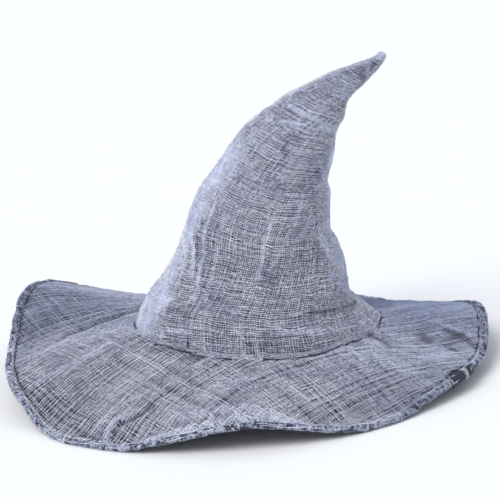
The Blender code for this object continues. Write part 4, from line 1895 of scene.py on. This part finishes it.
@dataclass
class Tear:
    """The threads at the tear: some across it, frayed ends on both sides and open curls."""

    hem: Hem
    count: int = 16
    across_places: tuple[float, ...] = (-0.04, 0.08, 0.20, 0.32)
    across_drift: float = 0.1536
    across_angles: tuple[float, float] = (2.3, -1.4)
    across_lift: float = 0.0005
    across_size: float = 0.92
    ends: int = 6
    end_places: tuple[float, float] = (0.98, 1.12)
    end_angles: tuple[float, float] = (-0.6, 2.6)
    end_lift: float = 0.0004
    end_rise: tuple[float, float] = (0.1, 0.8)
    end_curl: float = 0.33
    end_sag: float = 0.07
    end_step: tuple[float, float] = (0.0002, 0.0005)
    curls: tuple[tuple[float, float], ...] = ((0.0042, 0.3), (0.0033, 1.2), (0.0024, 2.4))
    curl_places: tuple[float, float] = (1.15, 1.2)
    curl_angle: float = 0.7
    curl_lift: float = 0.0012
    curl_sweep: float = 3.6
    curl_flat: float = 0.7
    radii: tuple[float, float] = (0.00018, 0.00030)
    facing: tuple[float, float, float] = (0.1, -0.2, 1.0)

    def __post_init__(self) -> None:
        """Work out where the tear lies."""
        self.at = self.hem.surface.tear_turn
        self.gap = self.hem.steps_round(self.hem.surface.tear_half)

    def across(self) -> list[Array]:
        """Lay threads across the bare edge."""
        worn, share = self.hem.worn(), np.linspace(0, 1, self.count)
        angle = np.linspace(*self.across_angles, self.count)
        turns = [
            self.at + self.gap * (place + self.across_drift * share**2)
            for place in self.across_places
        ]
        return [worn.skin(turn, angle, self.across_lift, self.across_size)[0] for turn in turns]

    def frayed(self, side: int, rng: np.random.Generator) -> Array:
        """Let one thread end hang loose at a side of the tear."""
        skin, middle = self.hem.skin, np.array(0.5)
        turn = np.array(self.at + side * self.gap * rng.uniform(*self.end_places))
        point, normal = skin(turn, np.array(rng.uniform(*self.end_angles)), self.end_lift)
        step = skin(turn - side * 2e-4, middle)[0] - skin(turn, middle)[0]
        step = unit(step) + normal * rng.uniform(*self.end_rise)
        run = [point]
        for _ in range(self.count - 1):
            step = unit(step + rng.normal(0, self.end_curl, 3) - np.array([0, 0, self.end_sag]))
            run.append(run[-1] + step * rng.uniform(*self.end_step))
        return np.array(run)

    def curled(self) -> list[Array]:
        """Lay open curls beside the tear."""
        angle = np.array(self.curl_angle)
        (middle, normal), (beside, _) = (
            self.hem.skin(np.array(self.at - self.gap * place), angle, self.curl_lift)
            for place in self.curl_places
        )
        aside = unit(beside - middle)
        low = self.curl_flat * np.cross(normal, aside)
        rows = []
        for size, start in self.curls:
            sweep = np.linspace(start, start + self.curl_sweep, self.count)[:, None]
            rows.append(middle + aside * size * np.cos(sweep) + low * size * np.sin(sweep))
        return rows

    def build(self, material: bpy.types.Material) -> bpy.types.Object:
        """Make the piece."""
        rng = np.random.default_rng(91)
        loose = [self.frayed(side, rng) for side in (-1, 1) for _ in range(self.ends)]
        points = np.stack([*self.across(), *loose, *self.curled()])
        shape = points.shape[:2]
        bundle = ThreadBundle(
            points=points,
            normals=np.broadcast_to(np.array(self.facing), points.shape),
            kept=np.ones(shape, bool),
            radius=rng.uniform(*self.radii, (shape[0], 1)) * np.ones(shape),
            bake=self.hem.surface.bake(points[..., :2]),
            tone=np.ones(shape),
        )
        return finish_piece(bundle.spin("tear_threads", material), Slot.HEM)


@dataclass
class Studio:
    """A pale floor, soft light and the camera."""

    distance: float = 1.7
    elevation: float = 18.0
    roll: float = -5.5
    floor_drop: float = 0.006
    aim: tuple[float, float] = (0.001047, 0.06546)
    lens: float = 137.5
    sky: tuple[float, float, float] = (0.60, 0.635, 0.70)
    sun: float = 1.9
    sun_angle: float = 38.0
    sun_from: tuple[float, float, float] = (-0.62, -0.62, 1.0)
    sun_tint: tuple[float, float, float] = (1.0, 0.985, 0.96)
    floor_half: float = 6.0
    sensor: float = 36.0

    def build(self) -> None:
        """Build the stage, the lights and the camera."""
        points = self.floor_half * np.array([[-1, -1, 0], [1, -1, 0], [1, 1, 0], [-1, 1, 0]])
        floor = make_mesh("floor", points, [np.array([[0, 1, 2, 3]])], StudioFloor().material())
        world = bpy.data.worlds.new("studio_sky")
        world.use_nodes = True
        sky = world.node_tree.nodes["Background"]
        sky.inputs["Color"].default_value = (*self.sky, 1.0)
        bpy.context.scene.world = world
        self._key()
        self._camera()

    def _key(self) -> None:
        """Hang the broad soft light at the front left."""
        data = bpy.data.lights.new("key", "SUN")
        data.energy = self.sun
        data.angle = math.radians(self.sun_angle)
        data.color = self.sun_tint
        lamp = bpy.data.objects.new("key", data)
        lamp.rotation_euler = (-Vector(self.sun_from)).to_track_quat("-Z", "Y").to_euler()
        bpy.context.scene.collection.objects.link(lamp)

    def _camera(self) -> None:
        """Set the camera at the photograph's angle."""
        rise, roll = math.radians(self.elevation), math.radians(self.roll)
        back = Vector((0, -math.cos(rise), math.sin(rise)))
        level, upright = Vector((1, 0, 0)), Vector((0, math.sin(rise), math.cos(rise)))
        right = level * math.cos(roll) + upright * math.sin(roll)
        up = upright * math.cos(roll) - level * math.sin(roll)
        look = (-back + right * self.aim[0] + up * self.aim[1]).normalized()
        up = (up - look * up.dot(look)).normalized()
        right = look.cross(up)
        data = bpy.data.cameras.new("camera")
        data.lens = self.lens
        data.sensor_width = self.sensor
        camera = bpy.data.objects.new("camera", data)
        place = back * self.distance - Vector((0, 0, self.floor_drop))
        turned = Matrix((right, up, -look)).transposed().to_4x4()
        camera.matrix_world = Matrix.Translation(place) @ turned
        bpy.context.scene.collection.objects.link(camera)
        bpy.context.scene.camera = camera


def main() -> None:
    """Build the hat round its part."""
    logging.basicConfig(level=logging.INFO, format="%(message)s")
    bpy.context.scene.view_settings.view_transform = "Standard"
    Studio().build()
    thread, dark = GauzeThread().material(), DarkThread().material()
    brim_surface = BrimSurface()
    hem = Hem(brim_surface).build(thread, dark)
    Brim(brim_surface).build(thread, hem)
    Crown(CrownSurface(brim_surface)).build(thread, dark)


if __name__ == "__main__":
    main()
